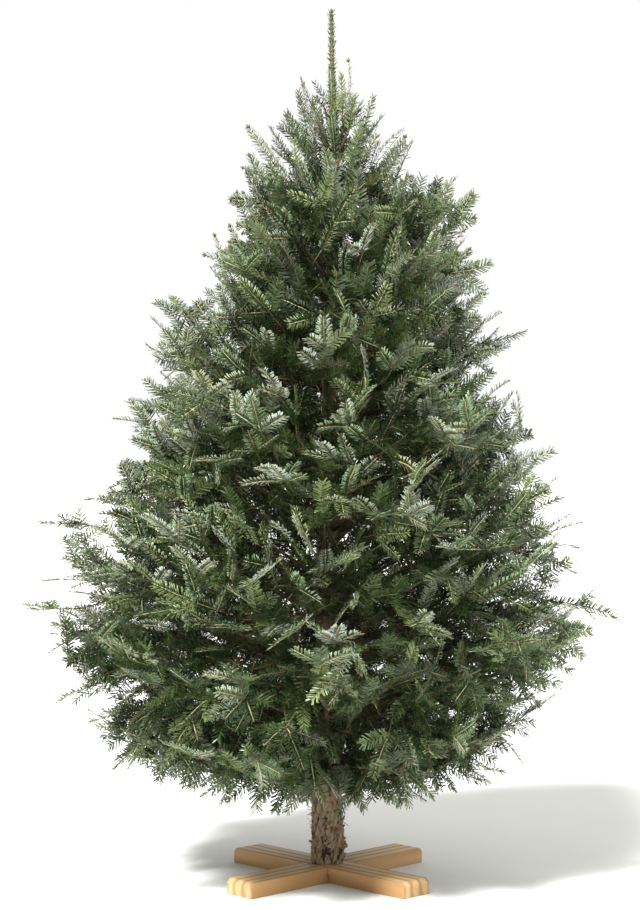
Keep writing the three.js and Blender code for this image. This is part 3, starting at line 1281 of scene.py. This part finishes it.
@dataclass
class Needles:
    """All the needles, as joined meshes: closed four-faced blades outside, two-faced ones deep inside."""

    growth: Growth
    habit: NeedleHabit = NeedleHabit()
    deep: float = 28 * MM  # below this depth only the top of a blade is seen
    seed: int = 7
    rng: np.random.Generator = field(init=False)

    def __post_init__(self) -> None:
        """Seeds its choices."""
        self.rng = np.random.default_rng(self.seed)

    def tint(self, shoot: Shoot) -> Tint:
        """Deals a spray its tint by where it is and how old it is: darker deep in the crown, partly as
        painted shade, and with more of the lighter tints higher up, as painted light.

        Args:
            shoot: one of its shoots.

        Returns:
            The tint.
        """
        habit, share = self.habit, self.growth.trunk.share(shoot.middle.z)
        if shoot.pressed:
            return Tint.FOREST if self.rng.random() < 0.85 else Tint.OLIVE
        odds = np.array(habit.outer_odds)
        # older and deeper shoots are dealt darker tints: partly older needles' darker green, partly painted
        # shade
        if shoot.age > 0 or shoot.depth > 35 * MM:
            odds = np.array(habit.inner_shaded_odds)
        if shoot.age > 1 or shoot.depth > 70 * MM:
            odds = np.array(habit.deep_shaded_odds)
        # higher up the lighter tints are added: painted light
        if share > 0.55:
            odds = odds + np.array(habit.sunlit) * min(1.0, (share - 0.55) * 4)
        if share > 0.82 and shoot.depth < 60 * MM:
            odds = np.array(habit.spire_odds)
        return list(Tint)[int(self.rng.choice(len(odds), p=odds / odds.sum()))]

    def ranks(self, shoot: Shoot, upswept: float) -> tuple[np.ndarray, np.ndarray, np.ndarray]:
        """Counts out one shoot's needles, rank by rank.

        Args:
            shoot: the shoot.
            upswept: how far they stand all round it, from nought to one.

        Returns:
            Each needle's place along the stem, its place round it in degrees, and its size.
        """
        habit, rng = self.habit, self.rng
        full = shoot.length * shoot.fill / habit.gap
        raised = 1 - 0.3 * upswept
        ranks = [(roll * raised, size, share) for roll, size, share in habit.side_ranks]
        ranks += [(roll, 0.8, 0.35 * upswept) for roll in habit.round_ranks]
        if shoot.pressed:
            ranks = [(roll, 0.95, 0.95) for roll in range(0, 360, 45)]
            upswept = 1.0
        places, rolls, sizes = [np.zeros(0)], [np.zeros(0)], [np.zeros(0)]
        for roll, size, share in ranks:
            n = int(full * share + rng.random())
            if n == 0:
                continue
            index = np.arange(n)
            places.append((index // 2 + 0.2 + 0.3 * (index % 2) + rng.uniform(-0.1, 0.1, n)) / ((n + 1) // 2))
            rolls.append(roll + rng.normal(0, 5 + 4 * upswept, n))
            sizes.append(np.full(n, size))
        return np.concatenate(places), np.concatenate(rolls), np.concatenate(sizes)

    def blades(self, shoot: Shoot) -> np.ndarray:
        """Places one shoot's needles.

        Args:
            shoot: the shoot.

        Returns:
            Four corners for each needle, n by 4 by 3.
        """
        habit, rng = self.habit, self.rng
        along = np.array(shoot.along)
        up = np.array(square_to(shoot.up, shoot.along))
        side = np.cross(along, up)
        upswept = float(np.clip((self.growth.trunk.share(shoot.middle.z) - 0.76) * 6, 0, 1))
        t, roll, size = self.ranks(shoot, upswept)
        n = len(t)
        if not n:
            return np.zeros((0, 4, 3))
        if shoot.pressed:
            upswept = 1.0
        roll = np.radians(roll)
        outline = 1.0 if shoot.pressed else 0.58 + 0.42 * np.sin(np.pi * np.clip(0.14 + 0.74 * t, 0, 1))
        size = size * outline * rng.uniform(0.84, 1.08, n) * (1 - 0.42 * upswept)
        lean = np.radians(habit.lean - 34 * t**3 - 9 * upswept + rng.normal(0, 5.5, n))
        if shoot.pressed:
            lean = np.radians(rng.uniform(18, 58, n))
            size *= rng.uniform(0.5, 1.05, n)
        start, middle, end = (np.array(p) for p in (shoot.start, shoot.middle, shoot.end))
        base = ((1 - t) ** 2)[:, None] * start + (2 * t * (1 - t))[:, None] * middle + (t**2)[:, None] * end
        out = np.sin(roll)[:, None] * side + np.cos(roll)[:, None] * up
        way = np.cos(lean)[:, None] * along + np.sin(lean)[:, None] * out
        face = up[None, :] - 0.2 * along[None, :] + rng.normal(0, 0.26, (n, 3))
        rounded = np.cos(roll)[:, None] * up + np.sin(roll)[:, None] * side
        face = np.where(np.abs(roll)[:, None] > 1.9, face - 1.6 * along[None, :] * upswept - rounded, face)
        face -= (face * way).sum(1)[:, None] * way
        face /= np.linalg.norm(face, axis=1)[:, None]
        across = np.cross(way, face)
        stem = shoot.thin + (shoot.thick - shoot.thin) * (1 - t)
        root = base + out * (stem * (0.9 if shoot.pressed else 0.6))[:, None]
        length = (habit.length * size)[:, None]
        sweep = -face * length * 0.06
        tip = root + way * length + sweep
        half = habit.width / 2 * (1 - 0.36 * upswept)
        fold = face * habit.fold / 2
        return np.stack(
            [
                root - across * half * 0.6 + fold,
                root + across * half * 0.6 - fold,
                tip + across * half * 0.8 + fold,
                tip - across * half * 0.8 - fold,
            ],
            axis=1,
        )

    def build(self, materials: list[bpy.types.Material]) -> None:
        """Makes one piece of needles for each tier.

        Args:
            materials: the tops' tints and then the undersides', in the order of Tint.
        """
        by_tier: dict[int, list[Shoot]] = defaultdict(list)
        for shoot in self.growth.shoots:
            if shoot.fill > 0:
                by_tier[shoot.tier].append(shoot)
        upper = len(Tint)
        for tier, members in sorted(by_tier.items()):
            points, faces, slots, first = [], [], [], 0
            for shoot in members:
                blades = self.blades(shoot)
                if not len(blades):
                    continue
                tint = self.tint(shoot).value
                kinds = [tint, tint, tint + upper, tint + upper]
                sides = 2 if shoot.depth > self.deep else 4
                count = len(blades)
                points.append(blades.reshape(-1, 3))
                steps = first + np.arange(count)[:, None, None] * 4
                faces.append((steps + BLADE_FACES[None, :sides]).reshape(-1, 3))
                slots.append(np.tile(kinds[:sides], count))
                first += count * 4
            obj = mesh_from_arrays(
                f"needles_tier_{tier}", np.concatenate(points), np.concatenate(faces), np.concatenate(slots)
            )
            for material in materials:
                obj.data.materials.append(material)
            hand_over(obj, [m.name for m in self.growth.crown.masses if m.tier == tier])


@dataclass
class Twigs:
    """The thin woody stems, joined for each group of tiers: three-sided tubes with closed ends."""

    growth: Growth
    deep: float = 60 * MM  # below this depth a stem is straight
    shade: float = 30 * MM  # below this one a new stem is dealt last year's darker colour: painted shade
    # each piece's name, and its lowest and highest tier
    groups: tuple[tuple[str, int, int], ...] = (
        ("twigs_low", 1, 2), ("twigs_middle", 3, 5), ("twigs_high", 6, 10),
    )

    def look(self, shoot: Shoot) -> StemAge:
        """Names a stem's look.

        Args:
            shoot: the stem.

        Returns:
            Its look, by its age and by how much light it gets.
        """
        # a new stem deep in the crown is dealt the darker colour as painted shade
        if shoot.age == 0 and shoot.depth < self.shade:
            return StemAge.NEW
        return StemAge.LAST_YEAR if shoot.age <= 2 else StemAge.OLD

    def sweep(
        self, shoots: Sequence[Shoot], rings: int, first: int
    ) -> tuple[np.ndarray, np.ndarray, np.ndarray]:
        """Sweeps a small closed tube along each of many shoots.

        Args:
            shoots: the shoots.
            rings: how many rings each has.
            first: the number of the first vertex.

        Returns:
            Vertices, triangles and each triangle's material slot.
        """
        start, middle, end = (np.array([getattr(s, k) for s in shoots]) for k in ("start", "middle", "end"))
        up = np.array([square_to(s.up, s.along) for s in shoots])
        along = end - start
        along /= np.linalg.norm(along, axis=1)[:, None]
        side = np.cross(along, up)
        thick, thin = (np.array([getattr(s, key) for s in shoots]) for key in ("thick", "thin"))
        young = np.array([1.35 if self.look(s) is StemAge.NEW else 1.0 for s in shoots])
        thick, thin = thick * young, thin * young
        turn = np.arange(3) * 2 * math.pi / 3 + math.pi / 6
        ring = np.cos(turn)[None, :, None] * side[:, None, :] + np.sin(turn)[None, :, None] * up[:, None, :]
        rows = []
        for t in np.linspace(0, 1, rings):
            centre = (1 - t) ** 2 * start + 2 * t * (1 - t) * middle + t * t * end
            rows.append(centre[:, None, :] + ring * (thick + (thin - thick) * t)[:, None, None])
        points = np.concatenate(rows, axis=1)
        faces = [(2, 1, 0), (3 * rings - 3, 3 * rings - 2, 3 * rings - 1)]
        for row in range(rings - 1):
            for i in range(3):
                a, b = row * 3 + i, row * 3 + (i + 1) % 3
                faces += [(a, b, b + 3), (a, b + 3, a + 3)]
        one = np.array(faces)
        every = (first + np.arange(len(shoots))[:, None, None] * 3 * rings + one[None]).reshape(-1, 3)
        slots = np.repeat([self.look(s).value for s in shoots], len(one))
        return points.reshape(-1, 3), every, slots

    def build(self, materials: list[bpy.types.Material]) -> None:
        """Makes the twig pieces.

        Args:
            materials: the stems' looks in the order of StemAge.
        """
        for name, low, high in self.groups:
            group = [s for s in self.growth.shoots if low <= s.tier <= high and not s.on_limb]
            near = [s for s in group if s.depth < self.deep]
            inner = [s for s in group if s.depth >= self.deep]
            bent = self.sweep(near, 3, 0)
            straight = self.sweep(inner, 2, len(bent[0]))
            obj = mesh_from_arrays(name, *(np.concatenate(pair) for pair in zip(bent, straight)))
            for material in materials:
                obj.data.materials.append(material)
            hand_over(obj)


@dataclass
class Buds:
    """The winter buds at the ends of this year's shoots, in small clusters near the top."""

    growth: Growth
    width: float = 4.4 * MM
    length: float = 6.4 * MM
    cluster_from: float = 0.7  # above this share of the tree's height they stand in clusters
    swollen: float = 1.9  # and are this much larger
    shown: float = 30 * MM  # below this depth they don't show
    # each bud of a cluster: how far it leans to the side and up, and its size
    cluster: tuple[tuple[float, float, float], ...] = (
        (0, 0, 1.0), (1, 0.2, 0.8), (-1, 0.2, 0.8), (0.1, -1, 0.75),
    )

    def bud(
        self, end: np.ndarray, way: np.ndarray, side: np.ndarray, up: np.ndarray, size: float
    ) -> list[np.ndarray]:
        """Lays the six corners of one spindle.

        Args:
            end: the shoot's end.
            way: the bud's direction.
            side: a direction across it.
            up: another across it.
            size: its size against a full one.

        Returns:
            Its corners: four round the middle, the tip and the base.
        """
        middle = end + way * self.length * 0.35 * size
        r = self.width / 2 * size
        ring = [middle + side * r, middle + up * r, middle - side * r, middle - up * r]
        return ring + [end + way * self.length * size, end - way * self.length * 0.25]

    def build(self, material: bpy.types.Material) -> None:
        """Makes all the buds as one piece of eight-faced spindles.

        Args:
            material: the buds' look.
        """
        tips = [s for s in self.growth.shoots if s.tip and s.depth < self.shown]
        points, faces = [], []
        upper = [(i, (i + 1) % 4, 4) for i in range(4)]
        corner = np.array(upper + [(b, a, 5) for a, b, _ in upper])
        for shoot in tips:
            along = np.array(shoot.along)
            up = np.array(square_to(shoot.up, shoot.along))
            side = np.cross(along, up)
            end = np.array(shoot.end)
            high = self.growth.trunk.share(shoot.end.z) > self.cluster_from
            for lean, lift, size in self.cluster if high else self.cluster[:1]:
                way = along + side * lean * 0.9 + up * lift * 0.9
                way /= np.linalg.norm(way)
                faces += (corner + len(points)).tolist()
                points += self.bud(end, way, side, up, size * (self.swollen if high else 1.0))
        obj = mesh_from_arrays("buds", np.array(points), np.array(faces), None)
        obj.data.materials.append(material)
        hand_over(obj)


# ---- Wood ----


def noise3(points: np.ndarray, seed: int) -> np.ndarray:
    """Gives smooth numbers from -1 to 1 over space, from a few crossed waves.

    Args:
        points: places, n by 3, in wavelengths.
        seed: which waves.

    Returns:
        One number for each place.
    """
    rng = np.random.default_rng(seed)
    total = np.zeros(len(points))
    for _ in range(7):
        way = rng.normal(size=3)
        way *= rng.uniform(0.7, 1.6) / np.linalg.norm(way)
        total += np.sin(points @ way * 2 * math.pi + rng.uniform(0, 2 * math.pi))
    return total / 3.5


@dataclass
class Trunk:
    """The trunk from its saw cut to its top bud, with the bark's relief."""

    line: TrunkLine
    around: int = 96
    fine_step: float = 3.0 * MM
    coarse_step: float = 24 * MM
    fine_height: float = 0.4  # below this the bark shows between the boughs, and is modelled finely
    full_radius: float = 38 * MM  # where the trunk is this thick, its bark has its full relief
    thin_relief: float = 0.12  # and its least share of that on the leader
    cut_height: float = 12 * MM  # the edge above the saw cut is pared back
    cut_depth: float = 2.5 * MM

    def relief(self, turn: np.ndarray, z: np.ndarray, size: np.ndarray) -> tuple[np.ndarray, np.ndarray]:
        """Works out the bark's relief: lozenge plates between crossing seams, lifted edges and fine cracks.

        Args:
            turn: directions round the trunk, in radians.
            z: heights.
            size: the relief's share of its full size.

        Returns:
            How far the bark stands out, and how deep in a seam each place is, which darkens the colour there,
            partly as painted shade.
        """
        ring = np.stack([np.cos(turn), np.sin(turn)], axis=1)
        skin = np.stack([ring[:, 0] * self.full_radius, ring[:, 1] * self.full_radius, z], axis=1)
        drift = noise3(skin / 0.07, 5) * 0.7
        across = turn * 4.0 + noise3(skin / 0.05, 6) * 1.1
        first = np.abs(np.sin(across + z / 0.026 + drift))
        second = np.abs(np.sin(across - z / 0.021 + 1.7 * drift))
        seam = np.clip(1 - np.minimum(first, second) / 0.36, 0, 1) ** 1.3
        seam *= np.clip(0.75 + 0.5 * noise3(skin / 0.05, 9), 0, 1)
        cracks = np.abs(np.sin(turn * 9 + z / 0.011 + 2 * drift))
        cracks *= np.abs(np.sin(turn * 9 - z / 0.013 - drift))
        curl = np.clip(1 - np.abs(np.minimum(first, second) - 0.55) / 0.2, 0, 1)
        knobs = noise3(skin * np.array([1, 1, 0.4]) / 0.009, 2)
        height = (0.9 * knobs + 1.0 * curl + 1.6 * cracks - 3.4 * seam + 0.2) * MM * size**1.2
        height += noise3(skin / 0.08, 3) * 2.2 * MM * size
        return height, np.clip(0.75 * seam + 0.5 * (1 - cracks) ** 4, 0, 1)

    def close(self) -> None:
        """Joins the wrapped grid's seam, closes its ends and turns its faces outwards."""
        bpy.ops.object.mode_set(mode="EDIT")
        bpy.ops.mesh.select_all(action="SELECT")
        bpy.ops.mesh.remove_doubles(threshold=1e-5)
        bpy.ops.mesh.select_all(action="DESELECT")
        bpy.ops.mesh.select_non_manifold(extend=False)
        bpy.ops.mesh.edge_face_add()
        bpy.ops.mesh.select_all(action="SELECT")
        bpy.ops.mesh.normals_make_consistent(inside=False)
        bpy.ops.object.mode_set(mode="OBJECT")

    def build(self, material: bpy.types.Material) -> bpy.types.Object:
        """Wraps a grid round the trunk's line and raises its bark.

        Args:
            material: the bark.

        Returns:
            The finished trunk.
        """
        line = self.line
        fine = np.arange(line.foot, self.fine_height, self.fine_step)
        coarse = np.arange(self.fine_height, line.top - 4 * MM, self.coarse_step)
        heights = np.concatenate([fine, coarse, [line.top - 3 * MM]])
        rows = len(heights) - 1
        deselect()
        bpy.ops.mesh.primitive_grid_add(x_subdivisions=self.around, y_subdivisions=rows, size=2.0)
        obj = bpy.context.object
        obj.name = obj.data.name = "trunk_bark"
        mesh = obj.data
        flat = np.empty(len(mesh.vertices) * 3, np.float32)
        mesh.vertices.foreach_get("co", flat)
        flat = flat.reshape(-1, 3)
        turn = (flat[:, 0] + 1) * math.pi
        z = heights[np.rint((flat[:, 1] + 1) / 2 * rows).astype(int)]
        radius = np.interp(z, line.heights[1:], line.radii[1:])
        size = np.clip(radius / self.full_radius, self.thin_relief, 1.0)
        height, seam = self.relief(turn, z, size)
        cut = np.clip((z - line.foot) / self.cut_height, 0, 1)
        radius = radius + height - (1 - cut) ** 2 * self.cut_depth
        x, y = (np.interp(z, line.heights, line.centres[:, i]) for i in (0, 1))
        points = np.stack([x + np.cos(turn) * radius, y + np.sin(turn) * radius, z], axis=1)
        mesh.vertices.foreach_set("co", points.astype(np.float32).ravel())
        young = np.clip((z - line.foot) / (line.top - line.foot) * 5 - 3.0, 0, 1)
        # the seam mask darkens the bark's colour in its grooves: partly painted shade
        for name, values in (("fissure_and_shade", seam * size), ("young", young)):
            mesh.attributes.new(name, "FLOAT", "POINT").data.foreach_set("value", values.astype(np.float32))
        mesh.update()
        self.close()
        bpy.ops.object.shade_smooth_by_angle(angle=math.radians(50))
        obj.data.materials.clear()
        obj.data.materials.append(material)
        settle(obj)
        return hand_over(obj, ["trunk"])


@dataclass
class TrunkDebris:
    """What clings to the bark: lifted flakes, dead needles above the cut, and sawn stubs."""

    line: TrunkLine
    flakes: int = 420
    dead: int = 260
    stubs: int = 9
    seed: int = 31

    def blades(
        self, heights: np.ndarray, lengths: np.ndarray, widths: np.ndarray, lift: np.ndarray, spin: np.ndarray
    ) -> np.ndarray:
        """Lays thin closed blades on the bark.

        Args:
            heights: each one's height.
            lengths: each one's length.
            widths: each one's width.
            lift: how far each leans off the bark, in radians.
            spin: how far each is turned from upright, in radians.

        Returns:
            Four corners for each, n by 4 by 3.
        """
        rng = np.random.default_rng(self.seed + len(heights))
        turn = rng.uniform(0, 2 * math.pi, len(heights))
        out = np.stack([np.cos(turn), np.sin(turn), 0 * turn], axis=1)
        side = np.stack([-np.sin(turn), np.cos(turn), 0 * turn], axis=1)
        base = np.array([self.line.centre(z) for z in heights])
        base += out * np.array([self.line.radius(z) - 0.5 * MM for z in heights])[:, None]
        along = np.cos(spin)[:, None] * np.array([0, 0, 1.0]) + np.sin(spin)[:, None] * side
        way = np.cos(lift)[:, None] * along + np.sin(lift)[:, None] * out
        across = np.cross(way, out)
        across /= np.linalg.norm(across, axis=1)[:, None]
        half = across * widths[:, None] / 2
        thick = out * 0.4 * MM
        tip = base + way * lengths[:, None]
        ends = [base - half + thick, base + half - thick, tip + half * 0.5 + thick, tip - half * 0.6 - thick]
        return np.stack(ends, axis=1)

    def lay(self, name: str, blades: np.ndarray, looks: list[bpy.types.Material]) -> None:
        """Makes one piece of blades, dealt out between its materials.

        Args:
            name: the piece's name.
            blades: their corners, n by 4 by 3.
            looks: the materials.
        """
        rng = np.random.default_rng(self.seed)
        count = len(blades)
        faces = (np.arange(count)[:, None, None] * 4 + BLADE_FACES[None]).reshape(-1, 3)
        slots = np.repeat(rng.integers(0, len(looks), count), len(BLADE_FACES))
        obj = mesh_from_arrays(name, blades.reshape(-1, 3), faces, slots)
        for look in looks:
            obj.data.materials.append(look)
        hand_over(obj)

    def build(self, bark: bpy.types.Material) -> None:
        """Makes the flakes, the dead needles and the stubs.

        Args:
            bark: the trunk's own bark, which the stubs have too.
        """
        rng = np.random.default_rng(self.seed)
        foot = self.line.foot
        n = self.flakes
        heights = foot + 0.01 + rng.uniform(0, 1, n) ** 1.3 * 0.5
        lengths, widths = rng.uniform(8, 22, n) * MM, rng.uniform(4, 10, n) * MM
        flakes = self.blades(heights, lengths, widths, rng.uniform(0.05, 0.32, n), rng.normal(0, 0.7, n))
        self.lay("bark_flakes", flakes, [f.material() for f in FLAKE_FINISHES])
        n = self.dead
        heights = foot + 0.13 + rng.normal(0, 1, n) * 0.045 + rng.uniform(0, 0.12, n)
        heights = np.maximum(heights, foot + 0.03)
        lengths, widths = rng.uniform(14, 30, n) * MM, rng.uniform(1.4, 2.6, n) * MM
        dead = self.blades(heights, lengths, widths, rng.uniform(0.1, 1.1, n), rng.uniform(-2.6, 2.6, n))
        self.lay("needles_dead", dead, [f.material() for f in DEAD_FINISHES])
        points: list[Vector] = []
        faces: list[tuple[int, int, int]] = []
        slots: list[int] = []
        for number in range(self.stubs):
            corners, triangles, kinds = self.stub(rng, foot + (35 + 30 * number) * MM, number * 2.4)
            faces += [tuple(len(points) + i for i in triangle) for triangle in triangles]
            points += corners
            slots += kinds
        obj = mesh_from_arrays("trunk_stubs", np.array(points), np.array(faces), np.array(slots))
        obj.data.materials.append(bark)
        obj.data.materials.append(CUT_FINISH.material())
        hand_over(obj)

    def stub(
        self, rng: np.random.Generator, z: float, around: float, sides: int = 9
    ) -> tuple[list[Vector], list[tuple[int, int, int]], list[int]]:
        """Shapes one sawn stub: a short rough peg with a pale end.

        Args:
            rng: the source of chance.
            z: its height.
            around: about where it is round the trunk, in radians.
            sides: how many sides it has.

        Returns:
            Its corners, its triangles and each one's material: bark, or the cut end's.
        """
        turn = around + rng.uniform(-0.5, 0.5)
        level = Vector((math.cos(turn), math.sin(turn), 0.0))
        out = Vector((level.x, level.y, rng.uniform(0.2, 0.7))).normalized()
        side = out.cross(UP).normalized()
        up = side.cross(out)
        size, sunk = rng.uniform(3.5, 7.5) * MM, 8 * MM
        length = sunk + rng.uniform(3, 13) * MM
        start = self.line.centre(z) + level * (self.line.radius(z) - sunk)
        points, faces, slots = [], [], []
        profile = ((0.0, 1.5), (0.55, 1.15), (0.93, 0.95), (1.0, 0.85))  # share of its length, of its radius
        last = (len(profile) - 1) * sides
        for share, wide in profile:
            for k in range(sides):
                a = k * 2 * math.pi / sides
                r = size * wide * rng.uniform(0.9, 1.1)
                points.append(start + out * length * share + (side * math.cos(a) + up * math.sin(a)) * r)
        for row in range(0, last, sides):
            for k in range(sides):
                a, b = row + k, row + (k + 1) % sides
                faces += [(a, a + sides, b + sides), (a, b + sides, b)]
                slots += [0, 0]
        points += [start, start + out * length]
        for k in range(sides):
            after = (k + 1) % sides
            faces += [(k, after, len(points) - 2), (last + after, last + k, len(points) - 1)]
            slots += [0, 1]
        return points, faces, slots


@dataclass
class Boughs:
    """The boughs' woody axes, tapered, with a rough skin."""

    growth: Growth

    def tube(self, limb: Limb, sides: int, step: float, number: int) -> tuple[np.ndarray, np.ndarray]:
        """Sweeps one bough.

        Args:
            limb: the bough.
            sides: how many sides.
            step: the distance between rings.
            number: a seed for its own roughness.

        Returns:
            Vertices and triangles.
        """
        nodes = np.array(limb.points[: max(2, len(limb.points) - 2)])
        lengths = np.concatenate([[0], np.cumsum(np.linalg.norm(np.diff(nodes, axis=0), axis=1))])
        rings = max(3, int(lengths[-1] / step) + 1)
        at = np.linspace(0, lengths[-1], rings)
        line = np.stack([np.interp(at, lengths, nodes[:, i]) for i in range(3)], axis=1)
        ways = np.gradient(line, axis=0)
        ways /= np.linalg.norm(ways, axis=1)[:, None]
        level = np.cross(ways, np.array([0, 0, 1.0]))
        level /= np.linalg.norm(level, axis=1)[:, None]
        upright = np.cross(level, ways)
        share = at / lengths[-1]
        radius = limb.root_radius * (1 - share) ** 0.8 + 2.2 * MM
        collar = np.exp(-at / (20 * MM)) * limb.root_radius * 0.35
        radius = radius + collar
        turn = (np.arange(sides) * 2 * math.pi / sides)[None, :, None]
        ring = np.cos(turn) * level[:, None, :] + np.sin(turn) * upright[:, None, :]
        skin = line[:, None, :] + ring * radius[:, None, None]
        rough = noise3(skin.reshape(-1, 3) / (14 * MM), number).reshape(rings, sides) * 0.09 * radius[:, None]
        points = skin + ring * rough[:, :, None]
        faces = []
        for row in range(rings - 1):
            for i in range(sides):
                a, b = row * sides + i, row * sides + (i + 1) % sides
                c, d = a + sides, b + sides
                faces += [(a, b, d), (a, d, c)]
        total, last = rings * sides, (rings - 1) * sides
        for i in range(sides):
            faces.append((last + i, last + (i + 1) % sides, total))
            faces.append((i, total + 1, (i + 1) % sides))
        points = np.concatenate([points.reshape(-1, 3), line[-1:], line[:1]])
        return points, np.array(faces)

    def build(self, material: bpy.types.Material) -> None:
        """Makes one piece for each of the two lowest tiers and one for those above.

        Args:
            material: the boughs' bark, a darker copy of the trunk's as painted shade.
        """
        for name, low, high in (("boughs_tier_1", 1, 1), ("boughs_tier_2", 2, 2), ("boughs_upper", 3, 10)):
            points, faces, first = [], [], 0
            fine = high <= 2  # only the bare low boughs are seen close to
            step = 12 * MM if fine else 50 * MM
            for number, limb in enumerate(l for l in self.growth.limbs if low <= l.tier <= high):
                p, f = self.tube(limb, 10 if fine and limb.main else 6, step, number)
                points.append(p)
                faces.append(f + first)
                first += len(p)
            obj = mesh_from_arrays(name, np.concatenate(points), np.concatenate(faces))
            obj.data.materials.append(material)
            obj.data.polygons.foreach_set("use_smooth", [True] * len(obj.data.polygons))
            nodes = [n for n in FRAME["nodes"] if n.startswith("bough_tier_")]
            hand_over(obj, [n for n in nodes if low <= int(n.split("_")[2]) <= high])


@dataclass
class Stand:
    """The plain cross of two boards, with eased edges."""

    ease: float = 2.2 * MM

    def board(self, node_name: str, finish: PlanedWoodFinish) -> bpy.types.Object:
        """Copies a CAD board, joins its corners and eases its edges.

        Args:
            node_name: the board's node.
            finish: its wood.

        Returns:
            The finished board.
        """
        deselect()
        source = FRAME["nodes"][node_name]
        obj = bpy.data.objects.new(f"{node_name}_planed", source.data.copy())
        bpy.context.scene.collection.objects.link(obj)
        obj.select_set(True)
        bpy.context.view_layer.objects.active = obj
        bpy.ops.object.mode_set(mode="EDIT")
        bpy.ops.mesh.select_all(action="SELECT")
        bpy.ops.mesh.remove_doubles(threshold=1e-5)
        bpy.ops.mesh.dissolve_limited(angle_limit=math.radians(2))
        bpy.ops.object.mode_set(mode="OBJECT")
        bevel = obj.modifiers.new("eased", "BEVEL")
        bevel.width, bevel.segments, bevel.limit_method = self.ease, 3, "ANGLE"
        bpy.ops.object.modifier_apply(modifier=bevel.name)
        bpy.ops.object.shade_smooth_by_angle(angle=math.radians(32))
        obj.data.materials.clear()
        obj.data.materials.append(finish.material())
        return hand_over(obj, [node_name])

    def build(self) -> None:
        """Makes both boards."""
        self.board("stand_board_lower", PlanedWoodFinish("pine_lower", 45.0))
        self.board("stand_board_upper", PlanedWoodFinish("pine_upper", 135.0))


# ---- Studio ----


@dataclass(frozen=True)
class Lamp:
    """One far soft lamp."""

    name: str
    place: tuple[float, float, float]  # the direction that it stands in from the tree
    strength: float
    spread: float  # its width in degrees, which softens shadows


@dataclass
class Studio:
    """A pale floor, soft light and the camera."""

    distance: float = 5.0  # from the camera to the trunk
    eye: float = 1.088  # the camera's height
    view: float = 2.268741  # how much of the trunk's plane the picture's height takes in
    aside: float = -19.9449 * MM  # how far the picture's middle is moved in that plane
    down: float = -34.9037 * MM
    sky: float = 0.68  # how bright the surround is as a light
    white: float = 1.0  # and as it is seen
    floor_radius: float = 60.0
    floor: PlainFinish = PlainFinish("floor_paper", "#dededc", 0.9, specular=0.1)  # matt pale paper
    lamps: tuple[Lamp, ...] = (
        Lamp("key", (-0.5, -0.8, 1.1), 7.2, 10.0),
        Lamp("fill", (0.9, -0.35, 0.75), 0.9, 40.0),
        Lamp("rim", (0.1, 0.9, 0.9), 0.8, 40.0),
    )

    def camera(self) -> None:
        """Sets a level camera in front of the tree."""
        data = bpy.data.cameras.new("camera")
        data.sensor_width = 36.0
        data.lens = data.sensor_width * self.distance / self.view
        data.shift_x, data.shift_y = self.aside / self.view, self.down / self.view
        data.clip_end = 200.0
        obj = bpy.data.objects.new("camera", data)
        bpy.context.scene.collection.objects.link(obj)
        obj.location = (0.0, -self.distance, self.eye)
        obj.rotation_euler = (math.pi / 2, 0.0, 0.0)
        bpy.context.scene.camera = obj

    def light(self, lamp: Lamp) -> None:
        """Adds one lamp that shines on the tree.

        Args:
            lamp: the lamp.
        """
        data = bpy.data.lights.new(lamp.name, "SUN")
        data.energy, data.angle = lamp.strength, math.radians(lamp.spread)
        obj = bpy.data.objects.new(lamp.name, data)
        bpy.context.scene.collection.objects.link(obj)
        place = Vector(lamp.place)
        obj.location = place * 4
        obj.rotation_euler = place.to_track_quat("Z", "Y").to_euler()

    def surround(self) -> None:
        """Makes the soft white surround: bright behind the tree, dimmer as light."""
        world = bpy.data.worlds.new("soft_white")
        bpy.context.scene.world = world
        world.use_nodes = True
        tree = world.node_tree
        tree.nodes.clear()
        path = node(tree, "ShaderNodeLightPath")
        light = node(tree, "ShaderNodeBackground", {"Color": (1.0, 0.99, 0.95, 1.0), "Strength": self.sky})
        seen = node(tree, "ShaderNodeBackground", {"Color": (1.0, 1.0, 1.0, 1.0), "Strength": self.white})
        mix = {0: path.outputs["Is Camera Ray"], 1: light.outputs[0], 2: seen.outputs[0]}
        both = node(tree, "ShaderNodeMixShader", mix)
        node(tree, "ShaderNodeOutputWorld", {"Surface": both.outputs[0]})

    def build(self) -> None:
        """Builds the studio."""
        deselect()
        bpy.ops.mesh.primitive_circle_add(vertices=96, radius=self.floor_radius, fill_type="NGON")
        floor = bpy.context.object
        floor.name = "floor"
        floor.data.materials.append(self.floor.material())
        self.surround()
        for lamp in self.lamps:
            self.light(lamp)
        self.camera()
        bpy.context.scene.view_settings.view_transform = "Standard"


def write_sizes() -> None:
    """Brings the view layer up to date."""
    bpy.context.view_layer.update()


def main() -> None:
    """Builds the tree, its stand and the studio."""
    logging.basicConfig(level=logging.INFO, format="%(message)s")
    line = TrunkLine()
    growth = Growth(line, Crown(line))
    growth.grow()
    growth.clothe()
    bark = BarkFinish().material()
    # the boughs' bark is a darker copy of the trunk's: painted shade, for the crown's shade round them
    shaded_bough_bark = BarkFinish("bark_bough_painted_shade", plate="#4b4233", worn="#6b6049", rust="#4f3a26").material()
    needle_looks = [f.material() for f in (*UPPER_FINISHES.values(), *UNDER_FINISHES.values())]
    Needles(growth).build(needle_looks)
    Twigs(growth).build([f.material() for f in STEM_FINISHES.values()])
    Buds(growth).build(BUD_FINISH.material())
    Boughs(growth).build(shaded_bough_bark)
    Trunk(line).build(bark)
    TrunkDebris(line).build(bark)
    Stand().build()
    Studio().build()
    write_sizes()


if __name__ == "__main__":
    main()
